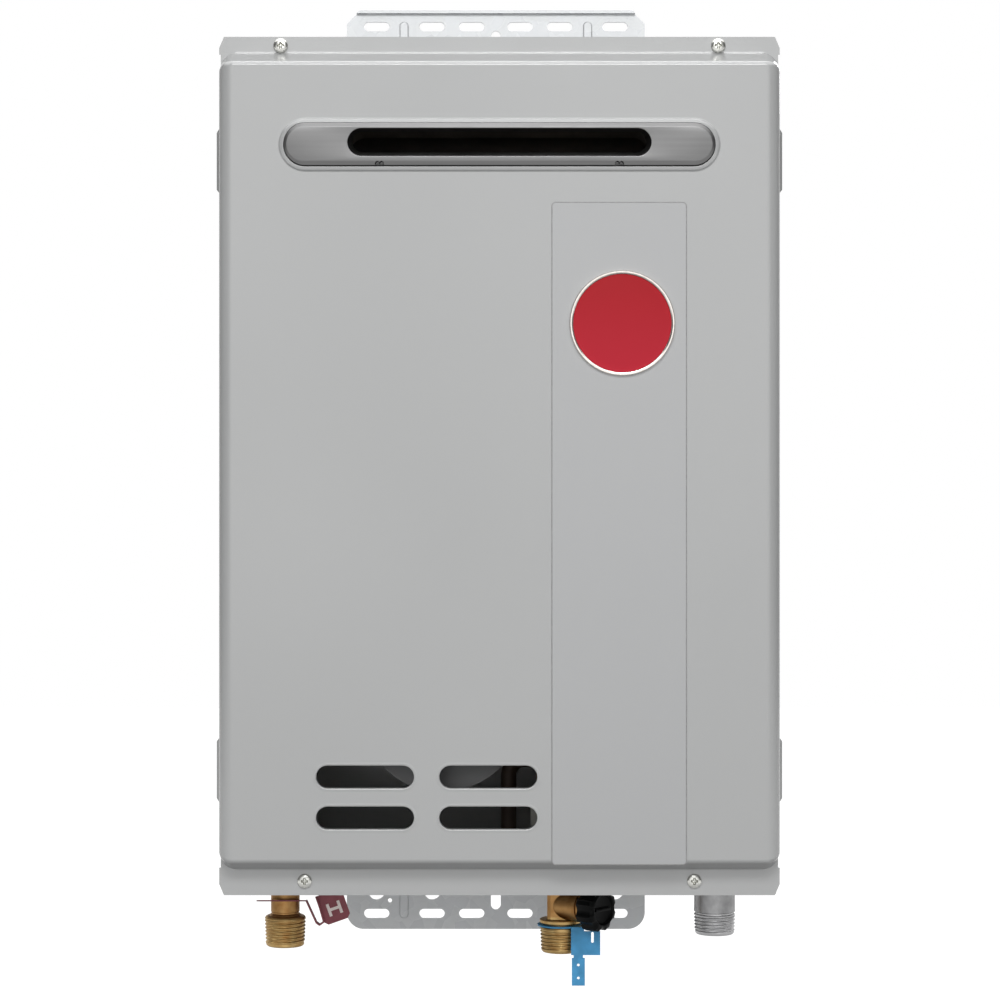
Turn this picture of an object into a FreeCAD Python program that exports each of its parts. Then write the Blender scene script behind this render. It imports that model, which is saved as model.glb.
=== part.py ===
import FreeCAD, Part
import math
import os

# A wall-hung outdoor gas water heater that heats water as it flows.
# Millimetres. +Z is up and the front faces -Y. The wall is the plane Y = 0.
# The solids are built round the casing's centre plane, X = 0, and written out with the origin
# at the centre of the wall brackets' slots, which lies a little to the left.
# An inset is taken inwards from the casing's side, and a setback backwards from the cover's flange.
# A rise is taken upwards from the casing's bottom end, and a drop downwards from its top end or, for
# the connections and their tags, from its bottom end.

V = FreeCAD.Vector

# Casing and its sheet
case_width = 350.0
case_height = 536.0
wall_to_flange = 217.0
cover_rise = 18.0
sheet = 0.8
slot_center_left = 2.6
back_gap = 12.0
seat_gap = 0.2
seam_width = 14.0
seam_end_gap = 18.0
seam_step = 2.0
end_lip_height = 6.0

# Front cover
face_drop = 18.6
face_rise = 22.8
slope_drop = 10.3
slope_rise = 16.4
edge_radius = 9.0
bend_radius = 3.0
pan_inset = 1.0
skirt_depth = 13.0
corner_cut_x = 3.0
corner_cut_z = 7.0
lip_depth = 5.0

# Screws that hold the cover
screw_radius = 2.1
screw_hole_gap = 0.2
screw_head_radius = 4.5
screw_head_height = 2.6
screw_length = 12.0
top_screw_inset = 38.4
top_screw_drop = 5.7
bottom_screw_inset = 53.4
bottom_screw_rise = 9.0

# Weather strips between the flanges
strip_thickness = 1.0
strip_height = 12.0
strip_end_gap = 5.0
strip_inset = 0.5

# Air intake slots in the cover
intake_length = 60.6
intake_height = 14.2
intake_columns = (-83.0, -6.9)
intake_rises = (75.8, 50.5)

# Exhaust outlet
outlet_inset = 42.0
outlet_height = 26.4
outlet_z = 198.1
outlet_proud = 2.0
outlet_rim = 2.8
outlet_rim_round = 1.3
outlet_sheet = 1.2
outlet_slot_inset = 39.5
outlet_slot_height = 17.0
outlet_slot_lift = 1.3
outlet_lip_depth = 13.0
window_gap = 0.4
bead_width = 2.3
bead_proud = 1.4
bead_round = 0.7
bead_cove = 0.6
drain_mark_x = 74.0
drain_mark = (5.0, 2.0)
outlet_gasket_inset = 8.0
outlet_gasket_height = 27.0
outlet_gasket_depth = 4.0

# Applied strip panel and badge
panel_left = 32.7
panel_right = 115.1
panel_drop = 35.9
panel_rise = 22.0
panel_thickness = 0.6
panel_corner = 2.0
badge_x = 75.8
badge_z = 87.9
badge_radius = 32.6
badge_rim_width = 2.0
badge_rim_height = 2.6
badge_edge_height = 1.4
badge_dome_rise = 1.2
badge_gap = 0.2

# Pressed pads on the casing's sides
pad_height = 52.0
pad_depth = 36.0
pad_taper = 8.0
pad_proud = 6.3
pad_setback = 17.0
pad_upper_z = 193.5
pad_lower_z = -192.2

# Wall brackets
bracket_width = 211.0
bracket_sheet = 2.0
bracket_rise = 57.0
wall_flange_height = 40.0
joggle_height = 12.0
foot_margin = 9.0
bracket_corner = 9.0
bracket_round = 12.0
bracket_lip = 3.5
slot_row_drop = 11.0
slot_length = 17.9
slot_width = 6.4
slot_offsets = (17.1, 45.2, 84.4)
rib_x = 65.0
rib_width = 6.5
rib_proud = 1.4
rib_drop = 7.5
keyhole_drop = 14.0
keyhole_neck = 6.4
keyhole_eye = 7.0
keyhole_eye_drop = 29.0
middle_slot_width = 7.0
middle_slot_drop = 13.8
middle_slot_length = 19.2
lower_hole_radius = 6.0
lower_hole_drop = 26.9
lower_hole_offsets = (-84.5, -45.0, 45.0, 84.5)
pilot_hole_x = -75.0
pilot_hole_drop = 20.2
pilot_hole_radius = 1.5
bracket_screw_offsets = (-88.0, -40.0, 40.0, 88.0)
bracket_screw_drop = 11.0
bracket_screw_radius = 2.4
bracket_screw_head = 5.0
bracket_screw_length = 10.0
bracket_screw_gap = 0.2

# Pipe connections below the casing
port_setback = 67.0
thread_radius = 13.335
thread_chamfer = 1.5
water_bore = 6.5
neck_radius = 11.0
hot_inset = 35.7
hot_neck_radius = 9.3
hot_neck_drop = 23.0
hot_thread_length = 19.8
hot_body_rise = 32.0
cold_x = 39.8
cold_neck_drop = 30.6
cold_thread_length = 16.0
cold_flange_radius = 13.6
cold_flange_height = 2.4
cold_groove_radius = 10.6
cold_groove_height = 2.8
cold_block = 17.5
cold_block_chamfer = 2.0
gas_inset = 35.1
gas_neck_drop = 20.7
gas_thread_length = 14.3
gas_groove_height = 1.2
gas_groove_depth = 1.0
gas_bore = 9.0
gas_flat_width = 26.0
collar_length = 58.0
collar_width = 28.0
collar_height = 3.0
port_hole_gap = 0.6
port_screw_spacing = 44.0

# Filter in the cold connection, on a level axis that points forwards and to the right
filter_drop = 16.1
filter_axis = (0.766, -0.643, 0.0)
filter_boss_radius = 10.0
filter_boss_length = 22.6
filter_bore = 7.0
filter_bore_depth = 18.0
strainer_radius = 6.9
strainer_length = 12.0
strainer_gap = 0.3
strainer_windows = 6
strainer_wall = 1.2
knob_radius = 14.5
knob_thickness = 13.0
knob_lobes = 8
knob_lobe_depth = 1.9
knob_scallop = 5.0
knob_gap = 0.3
knob_plug_length = 5.0
knob_plug_gap = 0.06

# Tags
strap_thickness = 0.9
strap_width = 4.0
loop_gap = 0.5
hot_loop_drop = 13.9
hot_loop_tilt = 8.9
hot_loop_length = 33.0
hot_loop_offset = -2.2
hot_fold_width = 5.0
hot_folds = ((20.3, 28.0), (22.4, 29.4), (25.1, 27.5), (20.6, 11.7))
hot_flag_width = 17.9
hot_flag_height = 20.0
hot_flag_tilt = 19.5
hot_flag_corner = (26.0, 30.2)
hot_flag_chamfer = 2.4
cold_loop_width = 4.0
cold_hanger_width = 8.4
cold_hanger_reach = 8.0
cold_flag_offset = 6.4
cold_flag_width = 18.8
cold_flag_drop = 31.4
cold_flag_height = 15.4
cold_flag_forward = 13.6
cold_waist = (8.0, 14.1)
cold_tail = (6.9, 15.3)
cold_waist_height = 1.9
cold_tail_height = 17.8
cold_tail_holes = (4.5, 12.9)
cold_tail_hole_radius = 0.9
cold_slit = (20.2, 4.0)
cold_slit_size = (7.1, 1.7)

# Combustion stack: burner box, exchanger and hood share one footprint
coil_clearance = 2.3
stack_clearance = 38.0
stack_setback = 37.0
stack_flange = 6.0
stack_sheet = 1.2
burner_bottom = -92.0
stack_joint = 0.0
exchanger_top = 165.0
hood_top = 228.0
hood_slope = (25.0, 33.0)
hood_sheet = 1.0
neck_gap = 1.0
stack_bracket_rows = (-40.0, 100.0)
stack_bracket_half = 60.0
stack_bracket_height = 20.0
stack_bracket_sheet = 2.0
overheat_spot = (40.0, 28.0)

# Exchanger tube and fins
tube_radius = 7.0
tube_gap = 0.15
tube_pitch = 22.0
tube_rows = 5
tube_z = 125.0
tube_bend = 11.0
coil_z = 60.0
coil_offset = 14.0
riser_forward = 50.0
fin_height = 50.0
fin_gap = 0.3
fin_pitch = 9.0
fin_slot = 5.5
fin_slot_depth = 15.0
union_height = 14.0
union_radius = 11.0
union_z = 12.0
hot_union_z = 60.0

# Burner
bar_count = 12
bar_end_space = 12.0
bar_foot_width = 5.0
bar_head_width = 10.0
bar_head_height = 14.0
bar_end_gap = 8.0
bar_top = -22.0
air_plate_z = -71.2
air_lip_height = 8.0
manifold_inset = 9.0
manifold_depth = 18.0
manifold_z = (-66.0, -46.0)
nozzle_radius = 3.0
nozzle_length = 6.0
nozzle_hole_gap = 0.4
coil_spots = (-58.0, 0.0, 58.0)
coil_radius = 9.0
coil_length = 24.0
sight_glass_spot = (-60.0, -12.0)
sight_hole_radius = 5.0
electrode_spot = (30.0, -12.0)
electrode_offsets = (-8.0, 8.0)
electrode_radius = 1.2
electrode_reach = 14.0
electrode_block = (34.0, 14.0, 9.0)
electrode_forward = 15.0

# Blower
blower_x = -45.0
blower_z = -162.0
scroll_radius = 46.0
scroll_growth = 6.0
scroll_back = -70.0
scroll_depth = 52.0
scroll_sheet = 1.2
tongue = 8.0
blower_flange = 6.0
inlet_radius = 30.0
inlet_ring_width = 5.0
inlet_ring_height = 4.0
wheel_radius = 38.0
wheel_inner = 30.5
wheel_width = 38.0
wheel_disc = 1.2
blade_count = 24
blade_thickness = 1.0
blade_sweep = 18.0
wheel_gap = 4.0
hub_radius = 8.0
hub_length = 16.0
shaft_radius = 3.0
shaft_gap = 0.05
motor_radius = 32.0
motor_length = 38.0

# Water sensing and control above the cold connection
sensor_radius = 13.5
sensor_bore = 9.0
sensor_rise = 22.0
sensor_height = 40.0
turbine_radius = 8.4
turbine_height = 12.0
turbine_pin = 1.2
turbine_blades = 5
sensor_bar_inset = 6.0
sensor_bar = 2.0
valve_block = (32.0, 34.0)
valve_height = 40.0
valve_motor_radius = 15.0
valve_motor_length = 24.0
water_pipe_radius = 7.0
water_bend = 14.0
riser_turn_z = -125.0
hot_set_z = (-90.0, -60.0)
bypass_radius = 5.0
bypass_bend = 10.0
bypass_drop_x = 6.0
bypass_port_lift = 16.0
bypass_run_rise = 18.0
bypass_boss_radius = 8.0
bypass_boss_reach = 20.0

# Gas train
gas_block = (44.0, 44.0)
gas_block_rise = 32.0
gas_block_height = 70.0
gas_coil_radius = 13.0
gas_coil_length = 24.0
gas_coil_lifts = (18.0, 50.0)
gas_pipe_radius = 8.0
gas_turn_z = -110.0

# Electrical pieces
control_inset_right = 21.0
control_width = 92.0
control_rise = 40.0
control_height = 88.0
control_setback = 21.0
control_sheet = 1.2
control_foot_gap = 8.0
control_depth = 28.0
control_wall = 2.0
control_inset = 2.0
board_thickness = 1.6
board_lift = 5.0
board_blocks = (
    (0.10, 0.10, 26.0, 20.0, 14.0),
    (0.50, 0.08, 18.0, 16.0, 12.0),
    (0.12, 0.55, 12.0, 30.0, 8.0),
    (0.60, 0.62, 20.0, 8.0, 6.0),
    (0.44, 0.38, 14.0, 14.0, 4.0),
)
board_cans = ((0.86, 0.20, 6.0, 15.0), (0.86, 0.42, 4.0, 12.0))
terminal_offset = 8.0
terminal_width = 52.0
terminal_rise = 12.0
terminal_height = 18.0
terminal_depth = 16.0
terminal_ways = 5
grommet_spots = ((100.0, -60.0), (66.0, -60.0))
grommet_radius = 11.0
grommet_flange = 3.0
grommet_gap = 0.1
grommet_bores = (5.0, 0.0)
transformer_y = (-112.0, -62.0)
transformer_z = (-62.0, -18.0)
transformer_depth = 30.0
lead_radius = 2.5
lead_forward = 26.0
lead_bend = 8.0

# Values that follow from those above
half_width = case_width / 2
half_height = case_height / 2
pan_half = half_width - pan_inset
flange_y = -wall_to_flange
flange_back = flange_y + sheet
face_y = flange_y - cover_rise
skirt_inner = pan_half - sheet
skirt_y = flange_y + skirt_depth
case_side = skirt_inner - seat_gap
case_end = half_height - sheet
strip_front = flange_back + seat_gap
case_front = strip_front + strip_thickness
case_back = -back_gap
panel_floor = case_end - sheet
seam_half = half_height - seam_end_gap
face_top = half_height - face_drop
face_bottom = face_rise - half_height
top_slope_start = half_height - slope_drop
bottom_slope_start = slope_rise - half_height
intake_rows = [rise - half_height for rise in intake_rises]
panel_bottom = panel_rise - half_height
panel_top = outlet_z - panel_drop
outlet_slot_z = outlet_z + outlet_slot_lift
outlet_back = face_y + outlet_sheet
outlet_length = case_width - 2 * outlet_inset
outlet_slot_length = outlet_length - 2 * outlet_slot_inset
outlet_gasket_length = outlet_length - 2 * outlet_gasket_inset
top_screw_x = half_width - top_screw_inset
bottom_screw_x = half_width - bottom_screw_inset
top_screw_z = half_height - top_screw_drop
bottom_screw_z = bottom_screw_rise - half_height
bracket_reach = half_height + bracket_rise
slot_row_z = bracket_reach - slot_row_drop
bracket_screw_z = half_height - bracket_screw_drop
bracket_foot = bracket_screw_z - foot_margin
through_y = -2 * back_gap
through = 3 * back_gap
hot_x = hot_inset - half_width
gas_x = half_width - gas_inset
port_y = flange_y + port_setback
hot_thread_top = -half_height - hot_neck_drop
hot_thread_bottom = hot_thread_top - hot_thread_length
hot_body_top = hot_body_rise - half_height
cold_thread_top = -half_height - cold_neck_drop
cold_thread_bottom = cold_thread_top - cold_thread_length
gas_thread_top = -half_height - gas_neck_drop
gas_thread_bottom = gas_thread_top - gas_thread_length
filter_start = (cold_x, port_y, -half_height - filter_drop)
hot_loop_z = -half_height - hot_loop_drop
sensor_bottom = sensor_rise - half_height
sensor_top = sensor_bottom + sensor_height
valve_top = sensor_top + valve_height
bypass_port_z = sensor_top + bypass_port_lift
bypass_run_z = bypass_run_rise - half_height
gas_block_low = gas_block_rise - half_height
gas_block_z = (gas_block_low, gas_block_low + gas_block_height)
coil_inset = hot_inset + union_radius + coil_clearance + tube_radius
stack_half_width = half_width - coil_inset - coil_offset
stack_back = case_back - stack_clearance
stack_front = flange_y + stack_setback
stack_middle = (stack_back + stack_front) / 2
riser_y = stack_back - riser_forward
electrode_end_y = stack_front - electrode_forward
lead_y = stack_front - lead_forward
bar_pitch = 2 * (stack_half_width - bar_end_space) / bar_count
manifold_half = stack_half_width - manifold_inset
control_plate_y = flange_y + control_setback
control_right = half_width - control_inset_right
control_x = (control_right - control_width, control_right)
control_low = control_rise - half_height
control_z = (control_low, control_low + control_height)
terminal_low = terminal_rise - half_height
terminal_z = (terminal_low, terminal_low + terminal_height)
terminal_x = (control_x[0] + terminal_offset, control_x[0] + terminal_offset + terminal_width)


def box(x, y, z):
    """Block between three pairs of low and high values."""
    return Part.makeBox(x[1] - x[0], y[1] - y[0], z[1] - z[0], V(x[0], y[0], z[0]))


def rod(radius, start, end):
    """Round bar from one point to another."""
    run = V(*end) - V(*start)
    return Part.makeCylinder(radius, run.Length, V(*start), run)


def tube(outer, inner, start, end):
    """Round bar with a bore right through it."""
    return rod(outer, start, end).cut(rod(inner, start, end))


def prism(points, travel):
    """Closed outline of straight runs, pushed along a vector."""
    corners = [V(*p) for p in points]
    return Part.Face(Part.makePolygon(corners + corners[:1])).extrude(V(*travel))


def oblong(spot, length, height, travel, upright=False):
    """Bar with full-round ends that starts at (x, y, z) and runs along Y."""
    x, y, z = spot
    r = height / 2
    a = length / 2 - r
    corners = [(-a, r), (a, r), (a + r, 0), (a, -r), (-a, -r), (-a - r, 0)]
    if upright:
        corners = [(-w, u) for u, w in corners]
    tl, tr, right, br, bl, left = [V(x + u, y, z + w) for u, w in corners]
    edges = [
        Part.LineSegment(tl, tr).toShape(),
        Part.Arc(tr, right, br).toShape(),
        Part.LineSegment(br, bl).toShape(),
        Part.Arc(bl, left, tl).toShape(),
    ]
    return Part.Face(Part.Wire(edges)).extrude(V(0, travel, 0))


def turned(outline, spot=(0, 0, 0)):
    """Solid of revolution about a vertical line, from (radius, height) pairs."""
    corners = [V(r, 0, z) for r, z in outline]
    face = Part.Face(Part.makePolygon(corners + corners[:1]))
    body = face.revolve(V(0, 0, 0), V(0, 0, 1), 360)
    return body.translated(V(*spot))


def aimed(body, start, axis):
    """Body modelled along +Z from the origin, turned to an axis and put at its start."""
    placed = body.copy()
    placed.Placement = FreeCAD.Placement(V(*start), FreeCAD.Rotation(V(0, 0, 1), V(*axis)))
    return placed


def along(start, axis, distance):
    """Point at a distance along an axis."""
    unit = V(*axis).normalize()
    return tuple(V(*start) + unit * distance)


def bent_path(points, bend):
    """Straight runs joined by tangent arcs of one bend radius."""
    spots = [V(*p) for p in points]
    edges = []
    start = spots[0]
    for before, corner, after in zip(spots, spots[1:], spots[2:]):
        into = (corner - before).normalize()
        out = (after - corner).normalize()
        turn = into.getAngle(out)
        cut = bend * math.tan(turn / 2)
        enter = corner - into * cut
        leave = corner + out * cut
        inward = (out - into).normalize()
        middle = corner + inward * (bend / math.cos(turn / 2) - bend)
        if (enter - start).Length > 0.001:
            edges.append(Part.LineSegment(start, enter).toShape())
        edges.append(Part.Arc(enter, middle, leave).toShape())
        start = leave
    edges.append(Part.LineSegment(start, spots[-1]).toShape())
    return Part.Wire(edges)


def pipe(points, radius, bend):
    """Round pipe along bent straight runs."""
    first = V(*points[1]) - V(*points[0])
    ring = Part.Wire(Part.makeCircle(radius, V(*points[0]), first))
    return bent_path(points, bend).makePipeShell([ring], True, False)


def inset(points, distance):
    """Convex outline of (u, v) pairs moved inwards by the same distance on every side."""
    count = len(points)
    pairs = [(points[i], points[(i + 1) % count]) for i in range(count)]
    area = sum(p[0] * q[1] - q[0] * p[1] for p, q in pairs)
    side = 1 if area > 0 else -1
    lines = []
    for p, q in pairs:
        length = math.hypot(q[0] - p[0], q[1] - p[1])
        du = (q[0] - p[0]) / length
        dv = (q[1] - p[1]) / length
        lines.append((p[0] - side * dv * distance, p[1] + side * du * distance, du, dv))
    corners = []
    for i in range(count):
        u1, v1, a1, b1 = lines[i - 1]
        u2, v2, a2, b2 = lines[i]
        t = ((u2 - u1) * b2 - (v2 - v1) * a2) / (a1 * b2 - b1 * a2)
        corners.append((u1 + a1 * t, v1 + b1 * t))
    return corners


def fused(bodies):
    """One body from several that touch or overlap."""
    whole = bodies[0]
    for body in bodies[1:]:
        whole = whole.fuse(body)
    return whole.removeSplitter()


def front_edges(body, y, least=0.0):
    """Edges that lie in the plane at y and are at least so long."""
    found = []
    for edge in body.Edges:
        bounds = edge.BoundBox
        flat = abs(bounds.YMin - y) < 0.001 and abs(bounds.YMax - y) < 0.001
        if flat and edge.Length > least:
            found.append(edge)
    return found


# Front cover

def pan_outline(back):
    """Side profile of the cover's raised face, as (y, z) pairs."""
    return [
        (back, top_slope_start),
        (flange_y, top_slope_start),
        (face_y, face_top),
        (face_y, face_bottom),
        (flange_y, bottom_slope_start),
        (back, bottom_slope_start),
    ]


def pan_body(outline, half, side_radius, end_radius):
    """Raised face with its side edges and then its two bends rounded."""
    body = prism([(-half, y, z) for y, z in outline], (2 * half, 0, 0))
    y_face = min(y for y, z in outline)
    sides = []
    for edge in body.Edges:
        bounds = edge.BoundBox
        if bounds.XLength < 0.001 and bounds.YMin < y_face + 0.001:
            sides.append(edge)
    body = body.makeFillet(side_radius, sides)
    bends = [edge for edge in front_edges(body, y_face) if edge.BoundBox.XLength > half]
    return body.makeFillet(end_radius, bends)


def cover_flange(inner_z, outer_z):
    """Flat flange across the top or the bottom, with its two free corners cut."""
    way = 1 if outer_z > inner_z else -1
    outline = [
        (-half_width, inner_z),
        (-half_width, outer_z - way * corner_cut_z),
        (corner_cut_x - half_width, outer_z),
        (half_width - corner_cut_x, outer_z),
        (half_width, outer_z - way * corner_cut_z),
        (half_width, inner_z),
    ]
    return prism([(x, flange_y, z) for x, z in outline], (0, sheet, 0))


def cover_screw_spots():
    """Centres of the four screws, top pair first, as (x, z) pairs."""
    top = [(-top_screw_x, top_screw_z), (top_screw_x, top_screw_z)]
    return top + [(-bottom_screw_x, bottom_screw_z), (bottom_screw_x, bottom_screw_z)]


def intake_spots():
    """Centres of the four air intake slots, as (x, z) pairs."""
    return [(x, z) for x in intake_columns for z in intake_rows]


def screw_holes(y, depth):
    """Clearance holes for the cover's screws."""
    radius = screw_radius + screw_hole_gap
    return [rod(radius, (x, y, z), (x, y + depth, z)) for x, z in cover_screw_spots()]


def add_outlet_bead(body):
    """Raises the bead round the outlet's window, rounded on top and coved into the face."""
    spread = 2 * (window_gap + bead_width)
    size = (outlet_length + spread, outlet_height + spread)
    front = face_y - bead_proud
    body = body.fuse(oblong((0, front, outlet_z), *size, bead_proud + sheet)).removeSplitter()
    body = body.makeFillet(bead_round, front_edges(body, front))
    foot = []
    for edge in front_edges(body, face_y):
        bounds = edge.BoundBox
        inside = bounds.XMax < half_width - edge_radius and bounds.XMin > edge_radius - half_width
        if inside and bounds.ZMin > outlet_z - outlet_height and bounds.ZMax < outlet_z + outlet_height:
            foot.append(edge)
    return body.makeFillet(bead_cove, foot)


def front_cover():
    """Pressed front with its flanges, side skirts, outlet window and lipped intake slots."""
    outer = pan_body(pan_outline(flange_back), pan_half, edge_radius, bend_radius)
    hollow = inset(pan_outline(flange_back + edge_radius), sheet)
    body = outer.cut(pan_body(hollow, skirt_inner, edge_radius - sheet, bend_radius - sheet))
    parts = [body]
    parts.append(cover_flange(top_slope_start - sheet, half_height))
    parts.append(cover_flange(bottom_slope_start + sheet, -half_height))
    skirt_z = (bottom_slope_start, top_slope_start)
    for x in ((-pan_half, -skirt_inner), (skirt_inner, pan_half)):
        parts.append(box(x, (flange_y, skirt_y), skirt_z))
    for x, z in intake_spots():
        lip = oblong((x, face_y, z), intake_length + 2 * sheet, intake_height + 2 * sheet, lip_depth)
        parts.append(lip)
    body = add_outlet_bead(fused(parts))
    for x, z in intake_spots():
        body = body.cut(oblong((x, face_y - 1, z), intake_length, intake_height, lip_depth + 2))
    window = (outlet_length + 2 * window_gap, outlet_height + 2 * window_gap)
    body = body.cut(oblong((0, face_y - 2 * bead_proud, outlet_z), *window, 4 * bead_proud))
    for hole in screw_holes(flange_y - 1, sheet + 2):
        body = body.cut(hole)
    return body


def pan_head_screw(radius, length, head_radius, head_height):
    """Screw along +Z with its head's seat at the origin."""
    return turned([
        (0, -length),
        (radius, -length),
        (radius, 0),
        (head_radius, 0),
        (head_radius, 0.4 * head_height),
        (0.7 * head_radius, 0.85 * head_height),
        (0, head_height),
    ])


def cover_screws():
    """Four pan-head screws through the cover's flanges."""
    screw = pan_head_screw(screw_radius, screw_length, screw_head_radius, screw_head_height)
    return [aimed(screw, (x, flange_y, z), (0, -1, 0)) for x, z in cover_screw_spots()]


def cover_gasket():
    """Foam weather strips on the casing's top and bottom flanges."""
    half = half_width - strip_end_gap
    low = case_end - strip_inset - strip_height
    high = case_end - strip_inset
    strips = []
    for z in ((low, high), (-high, -low)):
        strip = box((-half, half), (strip_front, case_front), z)
        for hole in screw_holes(strip_front - 1, strip_thickness + 2):
            strip = strip.cut(hole)
        strips.append(strip)
    return strips


def trim_strip():
    """Thin strip panel fixed on the right of the cover's face."""
    x = (panel_left, panel_right)
    panel = box(x, (face_y - panel_thickness, face_y), (panel_bottom, panel_top))
    corners = [edge for edge in panel.Edges if edge.BoundBox.YLength > 0.9 * panel_thickness]
    corners = [edge for edge in corners if edge.Length < 1.1 * panel_thickness]
    return panel.makeFillet(panel_corner, corners)


def badge_rim():
    """Raised ring round the badge."""
    inner = badge_radius - badge_rim_width
    ring = turned([
        (inner, 0),
        (badge_radius, 0),
        (badge_radius, 0.6 * badge_rim_height),
        (badge_radius - 0.3 * badge_rim_width, badge_rim_height),
        (inner + 0.3 * badge_rim_width, badge_rim_height),
        (inner, 0.8 * badge_rim_height),
    ])
    return aimed(ring, (badge_x, face_y - panel_thickness, badge_z), (0, -1, 0))


def badge_dome():
    """Plain domed disc inside the badge's rim."""
    radius = badge_radius - badge_rim_width - badge_gap
    top = badge_edge_height + badge_dome_rise
    ball = (radius ** 2 + badge_dome_rise ** 2) / (2 * badge_dome_rise)
    disc = rod(radius, (0, 0, 0), (0, 0, top))
    disc = disc.common(Part.makeSphere(ball, V(0, 0, top - ball)))
    return aimed(disc, (badge_x, face_y - panel_thickness, badge_z), (0, -1, 0))


# Casing

def pad(side, z, sink):
    """Pressed pad with sloping edges on one side wall, sunk inwards by a distance."""
    wires = []
    for rise, taper in ((-2 * sheet, 0), (0, 0), (pad_proud, pad_taper)):
        x = side * (case_side + rise - sink)
        near = flange_y + pad_setback + taper
        far = flange_y + pad_setback + pad_depth - taper
        half = pad_height / 2 - taper
        spots = [(near, z - half), (far, z - half), (far, z + half), (near, z + half)]
        corners = [V(x, y, up) for y, up in spots]
        wires.append(Part.makePolygon(corners + corners[:1]))
    root = Part.makeLoft(wires[:2], True, True)
    return root.fuse(Part.makeLoft(wires[1:], True, True))


def case_shell():
    """Back and both sides in one bent sheet, with four pressed pads and side seams."""
    z = (-panel_floor, panel_floor)
    inner = case_side - sheet
    front = case_front + seam_step
    body = box((-case_side, case_side), (front, case_back), z)
    body = body.cut(box((-inner, inner), (front - 1, case_back - sheet), (-case_end, case_end)))
    for side in (-1, 1):
        x = sorted((side * case_side, side * (case_side - seam_width)))
        body = body.fuse(box(x, (front, front + sheet), (-seam_half, seam_half)))
        for z_pad in (pad_upper_z, pad_lower_z):
            body = body.fuse(pad(side, z_pad, 0)).cut(pad(side, z_pad, sheet))
    for x, z_screw in bracket_screw_spots():
        body = body.cut(bracket_screw_hole(x, z_screw))
    return body.removeSplitter()


def end_panel(side):
    """Top or bottom of the casing: flat sheet with a front flange and lips inside the shell."""
    inner = case_side - sheet
    z_out = sorted((side * panel_floor, side * case_end))
    z_lip = sorted((side * (panel_floor - end_lip_height), side * panel_floor))
    z_flange = sorted((side * (case_end - seam_width), side * case_end))
    parts = [box((-case_side, case_side), (case_front, case_back), z_out)]
    parts.append(box((-case_side, case_side), (case_front, case_front + sheet), z_flange))
    lip_y = (case_front + 2 * seam_width, case_back - 2 * sheet)
    parts.append(box((-inner, sheet - inner), lip_y, z_lip))
    parts.append(box((inner - sheet, inner), lip_y, z_lip))
    parts.append(box((-seam_half / 2, seam_half / 2), (case_back - 2 * sheet, case_back - sheet), z_lip))
    body = fused(parts)
    for hole in screw_holes(case_front - 1, sheet + 2):
        body = body.cut(hole)
    return body


def case_top():
    """Closed top of the casing."""
    return end_panel(1)


def port_x_values():
    """X of the hot, cold and gas connections."""
    return (hot_x, cold_x, gas_x)


def case_bottom():
    """Bottom of the casing with the holes for the connections, their screws and the grommets."""
    body = end_panel(-1)
    low = -case_end - 1
    high = -panel_floor + 1
    for x in port_x_values():
        body = body.cut(rod(neck_radius + port_hole_gap, (x, port_y, low), (x, port_y, high)))
        for side in (-1, 1):
            spot = x + side * port_screw_spacing / 2
            radius = screw_radius + screw_hole_gap
            body = body.cut(rod(radius, (spot, port_y, low), (spot, port_y, high)))
    for x, y in grommet_spots:
        body = body.cut(rod(grommet_radius + grommet_gap, (x, y, low), (x, y, high)))
    return body


# Wall brackets

def bracket_screw_spots():
    """Centres of the screws that hold the brackets to the casing, as (x, z) pairs."""
    rows = (-bracket_screw_z, bracket_screw_z)
    return [(x - slot_center_left, z) for z in rows for x in bracket_screw_offsets]


def bracket_screw_hole(x, z):
    """Cutter for one bracket screw."""
    return rod(bracket_screw_radius + bracket_screw_gap, (x, through_y, z), (x, 0, z))


def bracket_profile(lip):
    """Side view of a bracket: wall flange, joggle and foot, as (y, z) pairs."""
    t = bracket_sheet
    bend = bracket_reach - wall_flange_height
    foot = bend - joggle_height
    out = back_gap - t
    shift = t * (math.hypot(out, joggle_height) - joggle_height) / out
    points = [(0, bracket_reach), (0, bend), (-out, foot), (-out, bracket_foot)]
    points += [(-back_gap, bracket_foot), (-back_gap, foot + shift), (-t, bend + shift)]
    if lip:
        points += [(-t, bracket_reach - t), (-t - lip, bracket_reach - t), (-t - lip, bracket_reach)]
    else:
        points += [(-t, bracket_reach)]
    return points


def bracket_outline(cut, rounded):
    """Front view of a bracket, pushed through its depth, with cut or rounded outer corners."""
    half = bracket_width / 2
    plate = box((-half, half), (-2 * back_gap, 1), (bracket_foot, bracket_reach))
    ends = []
    for edge in plate.Edges:
        bounds = edge.BoundBox
        if bounds.YLength > back_gap and bounds.ZMin > bracket_reach - 1:
            ends.append(edge)
    if rounded:
        return plate.makeFillet(rounded, ends)
    return plate.makeChamfer(cut, ends)


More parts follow.
